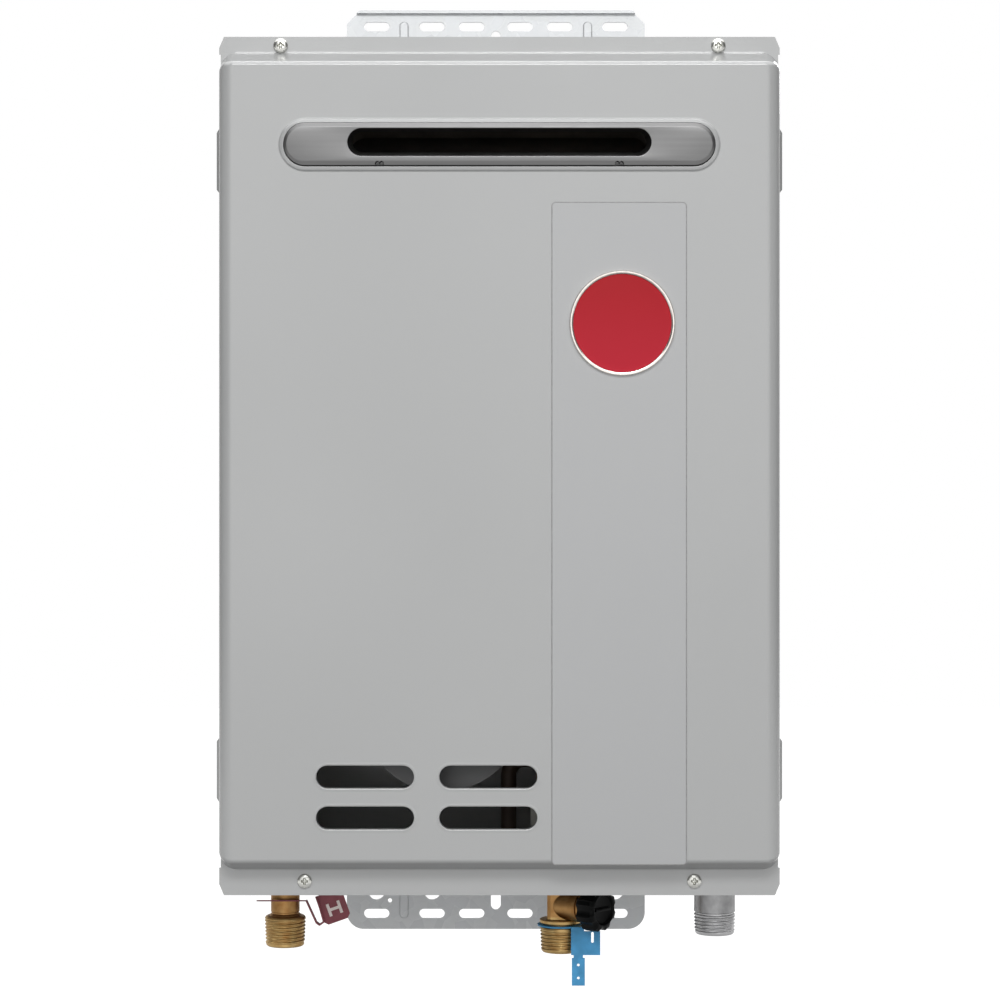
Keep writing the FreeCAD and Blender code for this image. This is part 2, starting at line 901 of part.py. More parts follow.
def bracket_blank(lip, cut, rounded):
    """Bent bracket with its slot row and two pressed ribs, standing upwards."""
    half = bracket_width / 2
    bent = prism([(-half, y, z) for y, z in bracket_profile(lip)], (2 * half, 0, 0))
    body = bent.common(bracket_outline(cut, rounded))
    rib_foot = bracket_reach - wall_flange_height + bracket_sheet
    rib_top = bracket_reach - rib_drop
    length = rib_top - rib_foot
    middle = (rib_top + rib_foot) / 2
    front = -bracket_sheet - rib_proud
    narrow = 2 * rib_proud
    for x in (-rib_x, rib_x):
        bead = oblong((x, front, middle), length, rib_width, 1.5 * rib_proud, upright=True)
        bead = bead.makeFillet(0.8 * rib_proud, front_edges(bead, front))
        groove = oblong((x, -rib_proud, middle), length - narrow, rib_width - narrow, narrow, upright=True)
        body = body.fuse(bead).cut(groove)
    for offset in slot_offsets:
        for side in (-1, 1):
            body = body.cut(oblong((side * offset, through_y, slot_row_z), slot_length, slot_width, through))
    for x in bracket_screw_offsets:
        body = body.cut(bracket_screw_hole(x, bracket_screw_z))
    return body.removeSplitter()


def top_bracket():
    """Upper wall bracket with a forward lip and a keyhole to hang it by."""
    body = bracket_blank(bracket_lip, bracket_corner, 0)
    length = keyhole_eye_drop - keyhole_drop
    middle = bracket_reach - (keyhole_eye_drop + keyhole_drop) / 2
    eye_z = bracket_reach - keyhole_eye_drop
    body = body.cut(oblong((0, through_y, middle), length, keyhole_neck, through, upright=True))
    body = body.cut(rod(keyhole_eye, (0, through_y, eye_z), (0, back_gap, eye_z)))
    return body.translated(V(-slot_center_left, 0, 0))


def bottom_bracket():
    """Lower wall bracket with rounded corners, a middle slot, four round holes and a pilot hole."""
    body = bracket_blank(0, 0, bracket_round)
    body = body.mirror(V(0, 0, 0), V(0, 0, 1))
    middle = middle_slot_drop + middle_slot_length / 2 - bracket_reach
    slot = (middle_slot_length, middle_slot_width)
    body = body.cut(oblong((0, through_y, middle), *slot, through, upright=True))
    holes = [(x, lower_hole_drop - bracket_reach, lower_hole_radius) for x in lower_hole_offsets]
    holes.append((pilot_hole_x, pilot_hole_drop - bracket_reach, pilot_hole_radius))
    for x, z, radius in holes:
        body = body.cut(rod(radius, (x, through_y, z), (x, back_gap, z)))
    return body.translated(V(-slot_center_left, 0, 0))


def bracket_screws():
    """Eight screws that hold the two brackets to the casing's back."""
    head = bracket_screw_head
    screw = pan_head_screw(bracket_screw_radius, bracket_screw_length, head, head / 2)
    seat = bracket_sheet - back_gap
    return [aimed(screw, (x, seat, z), (0, 1, 0)) for x, z in bracket_screw_spots()]


# Pipe connections

def flat_oblong(spot, length, width, height):
    """Plate with full-round ends that lies flat, long way along X."""
    x, y, z = spot
    plate = oblong((0, 0, 0), length, width, height)
    plate.rotate(V(0, 0, 0), V(1, 0, 0), 90)
    return plate.translated(V(x, y, z))


def connection(x, outline, stub_top):
    """Turned fitting under the bottom panel with its neck, its screwed collar and its stub above."""
    floor = -panel_floor
    top = floor + collar_height
    profile = [(0, outline[0][1])] + outline
    profile += [(neck_radius, outline[-1][1]), (neck_radius, stub_top), (0, stub_top)]
    body = turned(profile, (x, port_y, 0))
    collar = flat_oblong((x, port_y, floor), collar_length, collar_width, collar_height)
    for side in (-1, 1):
        spot = x + side * port_screw_spacing / 2
        collar = collar.cut(rod(screw_radius + 0.05, (spot, port_y, floor - 1), (spot, port_y, top + 1)))
    return body.fuse(collar)


def port_bore(x, radius, bottom, top):
    """Cutter for the bore of a connection."""
    return rod(radius, (x, port_y, bottom - 1), (x, port_y, top))


def male_thread(bottom, top):
    """Blank of a male pipe thread with both ends chamfered, as (radius, height) pairs."""
    small = thread_radius - thread_chamfer
    return [
        (small, bottom),
        (thread_radius, bottom + thread_chamfer),
        (thread_radius, top - thread_chamfer),
        (small, top),
    ]


def hot_outlet_fitting():
    """Brass hot outlet: threaded end, plain neck, and a side boss for the bypass pipe."""
    outline = male_thread(hot_thread_bottom, hot_thread_top)
    outline += [(hot_neck_radius, hot_thread_top), (hot_neck_radius, -case_end)]
    body = connection(hot_x, outline, hot_body_top)
    end = (hot_x + bypass_boss_reach, port_y, bypass_run_z)
    body = body.fuse(rod(bypass_boss_radius, (hot_x, port_y, bypass_run_z), end))
    bore = port_bore(hot_x, water_bore, hot_thread_bottom, bypass_run_z + bypass_boss_radius)
    return body.cut(bore).removeSplitter()


def cold_inlet_body():
    """Brass cold inlet: threaded end, groove, flange, square body and filter boss."""
    groove_top = cold_thread_top + cold_groove_height
    flange_top = groove_top + cold_flange_height
    half = cold_block / 2
    outline = male_thread(cold_thread_bottom, cold_thread_top)[:2]
    outline += [(thread_radius, cold_thread_top)]
    outline += [(cold_groove_radius, cold_thread_top), (cold_groove_radius, groove_top)]
    outline += [(cold_flange_radius, groove_top), (cold_flange_radius, flange_top)]
    outline += [(half - 1, flange_top), (half - 1, -case_end)]
    body = connection(cold_x, outline, sensor_bottom)
    x = (cold_x - half, cold_x + half)
    block = box(x, (port_y - half, port_y + half), (flange_top, -case_end - cold_block_chamfer))
    upright = [edge for edge in block.Edges if edge.BoundBox.ZLength > 1]
    body = body.fuse(block.makeChamfer(cold_block_chamfer, upright))
    end = along(filter_start, filter_axis, filter_boss_length)
    body = body.fuse(rod(filter_boss_radius, filter_start, end))
    body = body.cut(port_bore(cold_x, water_bore, cold_thread_bottom, sensor_bottom + 1))
    inner = along(filter_start, filter_axis, filter_boss_length - filter_bore_depth)
    outer = along(filter_start, filter_axis, filter_boss_length + 1)
    return body.cut(rod(filter_bore, inner, outer)).removeSplitter()


def gas_inlet_fitting():
    """Plated gas inlet: threaded end under a round body with two flats."""
    groove_bottom = gas_thread_top - gas_groove_height
    groove_radius = thread_radius - gas_groove_depth
    outline = male_thread(gas_thread_bottom, groove_bottom)[:2]
    outline += [(thread_radius, groove_bottom), (groove_radius, groove_bottom)]
    outline += [(groove_radius, gas_thread_top), (thread_radius, gas_thread_top)]
    outline += [(thread_radius, -case_end - 2 * sheet)]
    body = connection(gas_x, outline, gas_block_z[0])
    for side in (-1, 1):
        x = sorted((gas_x + side * gas_flat_width / 2, gas_x + side * gas_flat_width))
        flat = box(x, (port_y - collar_width, port_y + collar_width), (gas_thread_top + 3, -case_end))
        body = body.cut(flat)
    return body.cut(port_bore(gas_x, gas_bore, gas_thread_bottom, gas_block_z[0] - 10)).removeSplitter()


def fitting_screws():
    """Six screws that hold the three connections down to the bottom panel."""
    screw = pan_head_screw(screw_radius, collar_height + sheet, screw_head_radius, screw_head_height)
    spots = []
    for x in port_x_values():
        for side in (-1, 1):
            spots.append((x + side * port_screw_spacing / 2, port_y, -case_end))
    return [aimed(screw, spot, (0, 0, -1)) for spot in spots]


def filter_knob():
    """Lobed knob whose plug closes the filter boss."""
    knob = rod(knob_radius, (0, 0, 0), (0, 0, knob_thickness))
    for i in range(knob_lobes):
        turn = math.radians(360 * i / knob_lobes)
        x = (knob_radius + knob_scallop - knob_lobe_depth) * math.cos(turn)
        y = (knob_radius + knob_scallop - knob_lobe_depth) * math.sin(turn)
        knob = knob.cut(rod(knob_scallop, (x, y, -1), (x, y, knob_thickness + 1)))
    face = turned([
        (0, 0),
        (knob_radius, 0),
        (knob_radius, knob_thickness - 2),
        (knob_radius - 2.5, knob_thickness),
        (knob_radius - 5, knob_thickness),
        (knob_radius - 6, knob_thickness - 2),
        (0, knob_thickness - 2),
    ])
    knob = knob.common(face)
    plug = rod(filter_bore - knob_plug_gap, (0, 0, -knob_plug_length), (0, 0, 1))
    start = along(filter_start, filter_axis, filter_boss_length + knob_gap)
    return aimed(knob.fuse(plug).removeSplitter(), start, filter_axis)


def filter_strainer():
    """Slotted strainer basket in front of the knob's plug."""
    top = knob_gap - knob_plug_length - strainer_gap
    bottom = top - strainer_length
    basket = rod(strainer_radius, (0, 0, bottom), (0, 0, top))
    inside = strainer_radius - strainer_wall
    basket = basket.cut(rod(inside, (0, 0, bottom - 1), (0, 0, top - strainer_wall)))
    for i in range(strainer_windows // 2):
        window = box((-10, 10), (-1.5, 1.5), (bottom + 2, top - 3))
        window.rotate(V(0, 0, 0), V(0, 0, 1), 360 * i / strainer_windows)
        basket = basket.cut(window)
    return aimed(basket, along(filter_start, filter_axis, filter_boss_length), filter_axis)


# Tags on the two water connections

def ribbon(points, y, width, thickness):
    """Bent strap seen on edge in the XZ plane, from (x, z) pairs, centred on y."""
    parts = []
    near = y - width / 2
    far = y + width / 2
    for (x1, z1), (x2, z2) in zip(points, points[1:]):
        length = math.hypot(x2 - x1, z2 - z1)
        nx = (z1 - z2) / length * thickness / 2
        nz = (x2 - x1) / length * thickness / 2
        corners = [(x1 + nx, z1 + nz), (x2 + nx, z2 + nz), (x2 - nx, z2 - nz), (x1 - nx, z1 - nz)]
        parts.append(prism([(x, near, z) for x, z in corners], (0, width, 0)))
    for x, z in points[:-1]:
        parts.append(rod(thickness / 2, (x, near, z), (x, far, z)))
    return fused(parts)


def hot_tag():
    """Loop tag on the hot outlet: slanted loop, folded strap and a tilted flag."""
    half = strap_thickness / 2
    reach = hot_neck_radius + loop_gap
    loop_x = hot_x + hot_loop_offset
    spot = (loop_x, port_y, hot_loop_z - half)
    loop = flat_oblong(spot, hot_loop_length, 2 * (reach + strap_width), strap_thickness)
    spot = (loop_x, port_y, hot_loop_z - 2 * half)
    inner = hot_loop_length - 2 * strap_width
    loop = loop.cut(flat_oblong(spot, inner, 2 * reach, 2 * strap_thickness))
    loop.rotate(V(loop_x, port_y, hot_loop_z), V(1, 0, 0), -hot_loop_tilt)
    folds = [(loop_x + hot_loop_length / 2 - half, hot_loop_z)]
    folds += [(hot_x + x, -half_height - drop) for x, drop in hot_folds]
    strap = ribbon(folds, port_y, hot_fold_width, strap_thickness)
    flag = box((0, hot_flag_width), (-half, half), (0, hot_flag_height))
    corners = []
    for edge in flag.Edges:
        if edge.BoundBox.YLength > half and edge.BoundBox.ZMin < half:
            corners.append(edge)
    flag = flag.makeChamfer(hot_flag_chamfer, corners)
    flag.rotate(V(0, 0, 0), V(0, 1, 0), -hot_flag_tilt)
    x, drop = hot_flag_corner
    return fused([loop, strap, flag.translated(V(hot_x + x, port_y, -half_height - drop))])


def cold_tag():
    """Loop tag in the cold inlet's groove: ring, hanger, flag and a tail with two holes."""
    middle = cold_thread_top + cold_groove_height / 2
    half = strap_thickness / 2
    low = middle - half
    high = middle + half
    inner = cold_groove_radius + loop_gap
    middle_y = port_y - cold_flag_forward
    y = (middle_y - half, middle_y + half)
    left = cold_x + cold_flag_offset
    flag = (left, left + cold_flag_width)
    hanger = (left, left + cold_hanger_width)
    waist, tail = [(cold_x + a, cold_x + b) for a, b in (cold_waist, cold_tail)]
    flag_top = -half_height - cold_flag_drop
    flag_bottom = flag_top - cold_flag_height
    tail_top = flag_bottom - cold_waist_height
    tag = fused([
        rod(inner + cold_loop_width, (cold_x, port_y, low), (cold_x, port_y, high)),
        box(hanger, (y[0], port_y - cold_hanger_reach), (low, high)),
        box(hanger, y, (flag_top, high)),
        box(flag, y, (flag_bottom, flag_top)),
        box(waist, y, (tail_top, flag_bottom)),
        box(tail, y, (tail_top - cold_tail_height, tail_top)),
    ])
    tag = tag.cut(rod(inner, (cold_x, port_y, low - 1), (cold_x, port_y, high + 1)))
    x = sum(tail) / 2
    for drop in cold_tail_holes:
        z = tail_top - drop
        tag = tag.cut(rod(cold_tail_hole_radius, (x, y[0] - 1, z), (x, y[1] + 1, z)))
    x, drop = cold_slit
    return tag.cut(oblong((cold_x + x, y[0] - 1, flag_top - drop), *cold_slit_size, 5, upright=True))


# Combustion stack

def stack_ring(z, flange):
    """Flat joint flange round the stack's footprint."""
    out = stack_half_width + flange
    ring = box((-out, out), (stack_front - flange, stack_back + flange), z)
    return ring


def stack_box(z):
    """Outer block of the stack between two heights."""
    return box((-stack_half_width, stack_half_width), (stack_front, stack_back), z)


def stack_hollow(z, wall):
    """Inner block of the stack between two heights, for a wall thickness."""
    half = stack_half_width - wall
    return box((-half, half), (stack_front + wall, stack_back - wall), z)


def tube_row_y():
    """Y of each straight run of the exchanger tube, back to front."""
    first = stack_middle + tube_pitch * (tube_rows - 1) / 2
    return [first - tube_pitch * i for i in range(tube_rows)]


def burner_box():
    """Sheet steel burner box: open top, air opening below, ports for nozzles and igniter in front."""
    t = stack_sheet
    body = stack_box((burner_bottom, stack_joint))
    body = body.fuse(stack_ring((stack_joint - t, stack_joint), stack_flange))
    body = body.cut(stack_hollow((burner_bottom + t, stack_joint + 1), t))
    x = blower_outlet_x(scroll_sheet)
    y = (scroll_back - scroll_depth, scroll_back - scroll_sheet)
    body = body.cut(box(x, y, (burner_bottom - 1, burner_bottom + 2 * t)))
    z = sum(manifold_z) / 2
    radius = nozzle_radius + nozzle_hole_gap
    for x in bar_x_values():
        body = body.cut(rod(radius, (x, stack_front - 1, z), (x, stack_front + 3, z)))
    for x, z, radius in front_ports():
        body = body.cut(rod(radius, (x, stack_front - 1, z), (x, stack_front + 3, z)))
    return body.removeSplitter()


def front_ports():
    """Holes in the burner box's front for the sight glass and two electrode rods, as (x, z, radius)."""
    x, z = electrode_spot
    rods = [(x + dx, z, electrode_radius + 0.4) for dx in electrode_offsets]
    return [(*sight_glass_spot, sight_hole_radius)] + rods


def bar_x_values():
    """X of each burner bar."""
    first = -bar_pitch * (bar_count - 1) / 2
    return [first + bar_pitch * i for i in range(bar_count)]


def burner_bars():
    """Row of thin burner bars, each widening into its head."""
    foot = bar_foot_width / 2
    head = bar_head_width / 2
    low = air_plate_z + stack_sheet
    waist = bar_top - bar_head_height
    near = stack_front + bar_end_gap
    bars = []
    for x in bar_x_values():
        outline = [(-foot, low), (foot, low), (foot, waist - foot), (head, waist), (head, bar_top)]
        outline += [(-head, bar_top), (-head, waist), (-foot, waist - foot)]
        bar = prism([(x + dx, near, z) for dx, z in outline], (0, stack_back - bar_end_gap - near, 0))
        slot = (near + 4, stack_back - bar_end_gap - 4)
        bars.append(bar.cut(box((x - 1.5, x + 1.5), slot, (bar_top - 4, bar_top + 1))))
    return bars


def air_plate():
    """Slotted plate that carries the bars and spreads the air under them."""
    t = stack_sheet
    plate = stack_hollow((air_plate_z, air_plate_z + t), t)
    near = stack_front + 3 * bar_end_gap
    far = stack_back - 3 * bar_end_gap
    for left, right in zip(bar_x_values(), bar_x_values()[1:]):
        x = (left + bar_foot_width, right - bar_foot_width)
        plate = plate.cut(box(x, (near, far), (air_plate_z - 1, air_plate_z + 2 * t)))
    lip = stack_hollow((air_plate_z - air_lip_height, air_plate_z), t)
    lip = lip.cut(stack_hollow((air_plate_z - 2 * air_lip_height, air_plate_z + t), 2 * t))
    return plate.fuse(lip).removeSplitter()


def exchanger_shell():
    """Copper jacket round the combustion chamber and the fins, flanged at both ends."""
    t = stack_sheet
    body = stack_box((stack_joint, exchanger_top))
    body = body.fuse(stack_ring((stack_joint, stack_joint + t), stack_flange))
    body = body.fuse(stack_ring((exchanger_top - t, exchanger_top), stack_flange))
    body = body.cut(stack_hollow((stack_joint - 1, exchanger_top + 1), t))
    for y in tube_row_y():
        start = (-stack_half_width - 1, y, tube_z)
        body = body.cut(rod(tube_radius + tube_gap, start, (stack_half_width + 1, y, tube_z)))
    return body.removeSplitter()


def fin_pack():
    """Fins on the exchanger tube, open above and below the tube's runs."""
    wall = stack_sheet + fin_gap
    low = tube_z - fin_height / 2
    high = tube_z + fin_height / 2
    body = stack_hollow((low, high), wall)
    for y in tube_row_y():
        start = (-stack_half_width, y, tube_z)
        body = body.cut(rod(tube_radius + tube_gap, start, (stack_half_width, y, tube_z)))
    count = int(2 * (stack_half_width - wall) / fin_pitch)
    first = -fin_pitch * (count - 1) / 2
    y_cut = (stack_front, stack_back)
    for i in range(count):
        x = first + fin_pitch * i
        half = fin_slot / 2
        body = body.cut(box((x - half, x + half), y_cut, (high - fin_slot_depth, high + 1)))
        body = body.cut(box((x - half, x + half), y_cut, (low - 1, low + fin_slot_depth)))
    return body


def exchanger_tube():
    """One tube: up from the cold riser, once round the chamber, then back and forth through the fins."""
    side = stack_half_width + coil_offset
    front = stack_front - coil_offset
    back = stack_back + coil_offset
    rows = tube_row_y()
    points = [(side, riser_y, union_z), (side, riser_y, coil_z), (side, front, coil_z)]
    points += [(-side, front, coil_z), (-side, back, coil_z), (side, back, coil_z)]
    points += [(side, rows[0], coil_z), (side, rows[0], tube_z)]
    way = -1
    for row, after in zip(rows, rows[1:]):
        points += [(way * side, row, tube_z), (way * side, after, tube_z)]
        way = -way
    points += [(hot_x, rows[-1], tube_z), (hot_x, rows[-1], hot_union_z)]
    return pipe(points, tube_radius, tube_bend)


def flue_hood():
    """Hood that turns the spent gas forwards into an oblong neck behind the outlet."""
    t = hood_sheet
    depth, height = hood_slope
    low = exchanger_top
    outline = [(stack_back, low), (stack_back, hood_top - height), (stack_back - depth, hood_top)]
    outline += [(stack_front, hood_top), (stack_front, low)]
    half = stack_half_width
    body = prism([(-half, y, z) for y, z in outline], (2 * half, 0, 0))
    body = body.fuse(stack_ring((low, low + stack_sheet), stack_flange))
    outline[0] = (stack_back, low - 5)
    outline[-1] = (stack_front, low - 5)
    hollow = inset(outline, t)
    body = body.cut(prism([(t - half, y, z) for y, z in hollow], (2 * (half - t), 0, 0)))
    neck_end = outlet_back + outlet_gasket_depth
    length = outlet_slot_length + 2 * (outlet_sheet + neck_gap)
    width = outlet_slot_height + 2 * (outlet_sheet + neck_gap)
    reach = stack_front + t - neck_end
    body = body.fuse(oblong((0, neck_end, outlet_slot_z), length + 2 * t, width + 2 * t, reach))
    rim = oblong((0, neck_end, outlet_slot_z), outlet_gasket_length, outlet_gasket_height, t)
    body = body.fuse(rim)
    body = body.cut(oblong((0, neck_end - 1, outlet_slot_z), length, width, reach + 3))
    return body.removeSplitter()


def outlet_gasket():
    """Seal between the hood's neck and the outlet plate."""
    length = outlet_slot_length + 2 * (outlet_sheet + neck_gap)
    width = outlet_slot_height + 2 * (outlet_sheet + neck_gap)
    spot = (0, outlet_back, outlet_slot_z)
    seal = oblong(spot, outlet_gasket_length, outlet_gasket_height, outlet_gasket_depth)
    return seal.cut(oblong((0, outlet_back - 1, outlet_slot_z), length, width, outlet_gasket_depth + 2))


def exhaust_outlet():
    """Pressed outlet plate: rolled rim, flat plate, slot with an inward lip, two drain marks."""
    rim_y = face_y - outlet_proud
    spot = (0, face_y, outlet_z)
    plate = oblong(spot, outlet_length, outlet_height, outlet_sheet)
    rim = oblong((0, rim_y, outlet_z), outlet_length, outlet_height, outlet_proud + outlet_sheet)
    inner = (outlet_length - 2 * outlet_rim, outlet_height - 2 * outlet_rim)
    rim = rim.cut(oblong((0, rim_y - 1, outlet_z), *inner, outlet_proud + 2 * outlet_sheet))
    rim = rim.makeFillet(outlet_rim_round, front_edges(rim, rim_y))
    t = outlet_sheet
    outer = (outlet_slot_length + 2 * t, outlet_slot_height + 2 * t)
    lip = oblong((0, face_y, outlet_slot_z), *outer, outlet_lip_depth)
    body = fused([plate, rim, lip])
    body = body.cut(oblong((0, face_y - 5, outlet_slot_z), outlet_slot_length, outlet_slot_height, 30))
    width, height = drain_mark
    low = outlet_z - outlet_height / 2
    for x in (-drain_mark_x, drain_mark_x):
        z = (low + outlet_rim - height / 2, low + outlet_rim + height / 2)
        mark = box((x - width / 2, x + width / 2), (rim_y - 1, face_y - 0.4), z)
        body = body.cut(mark)
    return body


def sight_glass():
    """Small window in the burner box's front."""
    x, z = sight_glass_spot
    disc = turned([(0, 0), (8.5, 0), (8.5, 2), (6.5, 3), (0, 3)])
    return aimed(disc, (x, stack_front, z), (0, -1, 0))


def electrodes():
    """Igniter and flame rods in one ceramic block."""
    x, z = electrode_spot
    wide = electrode_block[0] / 2
    tall = electrode_block[1] / 2
    body = box((x - wide, x + wide), (stack_front - electrode_block[2], stack_front), (z - tall, z + tall))
    for dx in electrode_offsets:
        tip = (x + dx, stack_front + electrode_reach, z)
        body = body.fuse(rod(electrode_radius, (x + dx, electrode_end_y, z), tip))
    return body.removeSplitter()


def overheat_switch():
    """Button thermostat on the front of the exchanger jacket."""
    x, z = overheat_spot
    disc = turned([(0, 0), (11, 0), (11, 1), (8, 1), (8, 6), (6, 7), (0, 7)])
    return aimed(disc, (x, stack_front, z), (0, -1, 0))


def stack_brackets():
    """Two channels that carry the stack from the casing's back."""
    t = stack_bracket_sheet
    wall = case_back - sheet
    channels = []
    x = (-stack_bracket_half, stack_bracket_half)
    for low in stack_bracket_rows:
        z = (low, low + stack_bracket_height)
        web = box(x, (stack_back, wall), (low, low + t))
        feet = [box(x, (wall - t, wall), z), box(x, (stack_back, stack_back + t), z)]
        channels.append(fused([web] + feet))
    return channels


# Gas train

def gas_manifold():
    """Cast bar across the burner box's front, with one nozzle for each burner bar."""
    near = stack_front - manifold_depth
    bar = box((-manifold_half, manifold_half), (near, stack_front), manifold_z)
    edges = [edge for edge in bar.Edges if edge.BoundBox.YMax < near + 0.01 and edge.Length > 30]
    body = bar.makeFillet(4, edges)
    z = sum(manifold_z) / 2
    for x in bar_x_values():
        body = body.fuse(rod(nozzle_radius, (x, stack_front - 1, z), (x, stack_front + nozzle_length, z)))
    return body.removeSplitter()


def manifold_valves():
    """Coils under the manifold that open its sections."""
    y = stack_front - manifold_depth / 2
    top = manifold_z[0]
    coils = []
    for x in coil_spots:
        coil = turned([
            (0, 0),
            (coil_radius, 0),
            (coil_radius, -coil_length + 4),
            (coil_radius / 2, -coil_length + 4),
            (coil_radius / 2, -coil_length),
            (0, -coil_length),
        ], (x, y, top))
        yoke = box((x - coil_radius - 1, x + coil_radius + 1), (y - 6, y + 6), (top - 3, top))
        coils.append(coil.fuse(yoke).removeSplitter())
    return coils


def gas_valve_body():
    """Cast gas valve above the gas inlet."""
    wide, deep = gas_block
    x = (gas_x - wide / 2, gas_x + wide / 2)
    body = box(x, (port_y - deep / 2, port_y + deep / 2), gas_block_z)
    body = body.makeChamfer(4, [edge for edge in body.Edges if edge.BoundBox.ZLength > 10])
    middle = sum(gas_block_z) / 2
    cap = rod(14, (gas_x, port_y, middle), (gas_x, port_y - deep / 2 - 5, middle))
    return body.fuse(cap).removeSplitter()


def gas_valve_coils():
    """Two coils on the gas valve's left side."""
    x = gas_x - gas_block[0] / 2
    coils = []
    for z in [gas_block_z[0] + lift for lift in gas_coil_lifts]:
        body = rod(gas_coil_radius, (x, port_y, z), (x - gas_coil_length + 3, port_y, z))
        tip = rod(gas_coil_radius / 2, (x - 5, port_y, z), (x - gas_coil_length, port_y, z))
        coils.append(body.fuse(tip).removeSplitter())
    return coils


def gas_pipe():
    """Pipe from the gas valve up to the manifold's right end."""
    y = stack_front - manifold_depth / 2
    z = sum(manifold_z) / 2
    points = [(gas_x, port_y, gas_block_z[1]), (gas_x, port_y, gas_turn_z), (gas_x, y, gas_turn_z)]
    points += [(gas_x, y, z), (manifold_half, y, z)]
    return pipe(points, gas_pipe_radius, water_bend)


# Blower

def blower_outlet_x(wall):
    """Left and right of the scroll's outlet, inside a wall thickness."""
    right = blower_x + scroll_growth + scroll_radius + 2 * scroll_growth
    return (blower_x + tongue + wall, right - wall)


def scroll(wall, y, depth, top):
    """Scroll that widens quarter by quarter and leaves upwards, inside a wall thickness."""
    a = scroll_growth
    r1 = scroll_radius - wall
    r2 = r1 + a
    r3 = r2 + a
    x = blower_x
    z = blower_z
    left, right = blower_outlet_x(wall)
    d = math.sqrt(0.5)
    start = V(x, y, z + r1)
    west = V(x - r1, y, z)
    south = V(x + a, y, z - r2)
    east = V(x + a + r3, y, z + a)
    edges = [
        Part.Arc(start, V(x - r1 * d, y, z + r1 * d), west).toShape(),
        Part.Arc(west, V(x + a - r2 * d, y, z - r2 * d), south).toShape(),
        Part.Arc(south, V(x + a + r3 * d, y, z + a - r3 * d), east).toShape(),
        Part.LineSegment(east, V(right, y, top)).toShape(),
        Part.LineSegment(V(right, y, top), V(left, y, top)).toShape(),
        Part.LineSegment(V(left, y, top), V(left, y, z + r1)).toShape(),
        Part.LineSegment(V(left, y, z + r1), start).toShape(),
    ]
    return Part.Face(Part.Wire(edges)).extrude(V(0, depth, 0))


def blower_housing():
    """Scroll wall with its back plate and the flange under the burner box."""
    front = scroll_back - scroll_depth
    t = scroll_sheet
    body = scroll(0, front, scroll_depth, burner_bottom)
    left, right = blower_outlet_x(0)
    f = blower_flange
    flange = box((left - f, right + f), (front - f, scroll_back + f), (burner_bottom - t, burner_bottom))
    body = body.fuse(flange)
    body = body.cut(scroll(t, front, scroll_depth - t, burner_bottom + 1))
    behind = (blower_x, scroll_back + 1, blower_z)
    return body.cut(rod(2 * shaft_radius, behind, (blower_x, scroll_back - 2 * t, blower_z))).removeSplitter()


def blower_inlet_plate():
    """Front plate of the blower with a raised inlet ring."""
    front = scroll_back - scroll_depth
    t = scroll_sheet
    plate = scroll(0, front - t, t, burner_bottom - t)
    spot = (blower_x, front, blower_z)
    tip = (blower_x, front - t - inlet_ring_height, blower_z)
    plate = plate.fuse(rod(inlet_radius + inlet_ring_width, spot, tip))
    bell = Part.makeCone(inlet_radius, inlet_radius + inlet_ring_width - 0.8, inlet_ring_height + t + 0.2,
                         V(blower_x, front + 0.1, blower_z), V(0, -1, 0))
    return plate.cut(bell).removeSplitter()


def wheel_blade(depth):
    """One forward-curved blade between the wheel's inner and outer radius, along +Z."""
    outer = wheel_radius - 0.2
    middle = (wheel_inner + outer) / 2
    slip = math.degrees(blade_thickness / middle)
    lead = []
    trail = []
    for radius, turn in ((wheel_inner, 0), (middle, blade_sweep * 0.3), (outer, blade_sweep)):
        for side, angle in ((lead, turn), (trail, turn + slip)):
            a = math.radians(angle)
            side.append(V(radius * math.cos(a), radius * math.sin(a), 0))
    edges = [
        Part.Arc(lead[0], lead[1], lead[2]).toShape(),
        Part.LineSegment(lead[2], trail[2]).toShape(),
        Part.Arc(trail[2], trail[1], trail[0]).toShape(),
        Part.LineSegment(trail[0], lead[0]).toShape(),
    ]
    return Part.Face(Part.Wire(edges)).extrude(V(0, 0, depth))


def blower_impeller():
    """Cage wheel: back disc, hub, forward-curved blades and a front ring."""
    t = wheel_disc
    bore = shaft_radius + 0.02
    hub = [(hub_radius, t), (hub_radius, hub_length), (bore, hub_length)]
    disc = turned([(bore, 0), (wheel_radius, 0), (wheel_radius, t)] + hub)
    ring_low = wheel_width - t
    ring = turned([
        (wheel_inner + 2, ring_low),
        (wheel_radius, ring_low),
        (wheel_radius, wheel_width),
        (wheel_inner + 2, wheel_width),
    ])
    blade = wheel_blade(wheel_width - 1.5 * t)
    blades = []
    for i in range(blade_count):
        copy = blade.translated(V(0, 0, t / 2))
        copy.rotate(V(0, 0, 0), V(0, 0, 1), 360 * i / blade_count)
        blades.append(copy)
    body = disc.multiFuse(blades + [ring])
    start = (blower_x, scroll_back - scroll_sheet - wheel_gap, blower_z)
    return aimed(body, start, (0, -1, 0))


def blower_shaft():
    """Motor shaft that carries the wheel."""
    near = scroll_back - scroll_sheet - wheel_gap - 20
    far = scroll_back + motor_length - 4
    return rod(shaft_radius, (blower_x, near, blower_z), (blower_x, far, blower_z))


def blower_motor():
    """Motor on the back of the scroll, with a bearing cap."""
    body = turned([
        (0, 0),
        (motor_radius, 0),
        (motor_radius, motor_length - 12),
        (motor_radius - 4, motor_length - 8),
        (motor_radius / 2, motor_length - 6),
        (motor_radius / 2, motor_length),
        (0, motor_length),
    ])
    body = body.cut(rod(shaft_radius + shaft_gap, (0, 0, -1), (0, 0, motor_length - 3.5)))
    return aimed(body, (blower_x, scroll_back, blower_z), (0, 1, 0))


# Water pieces above the cold connection

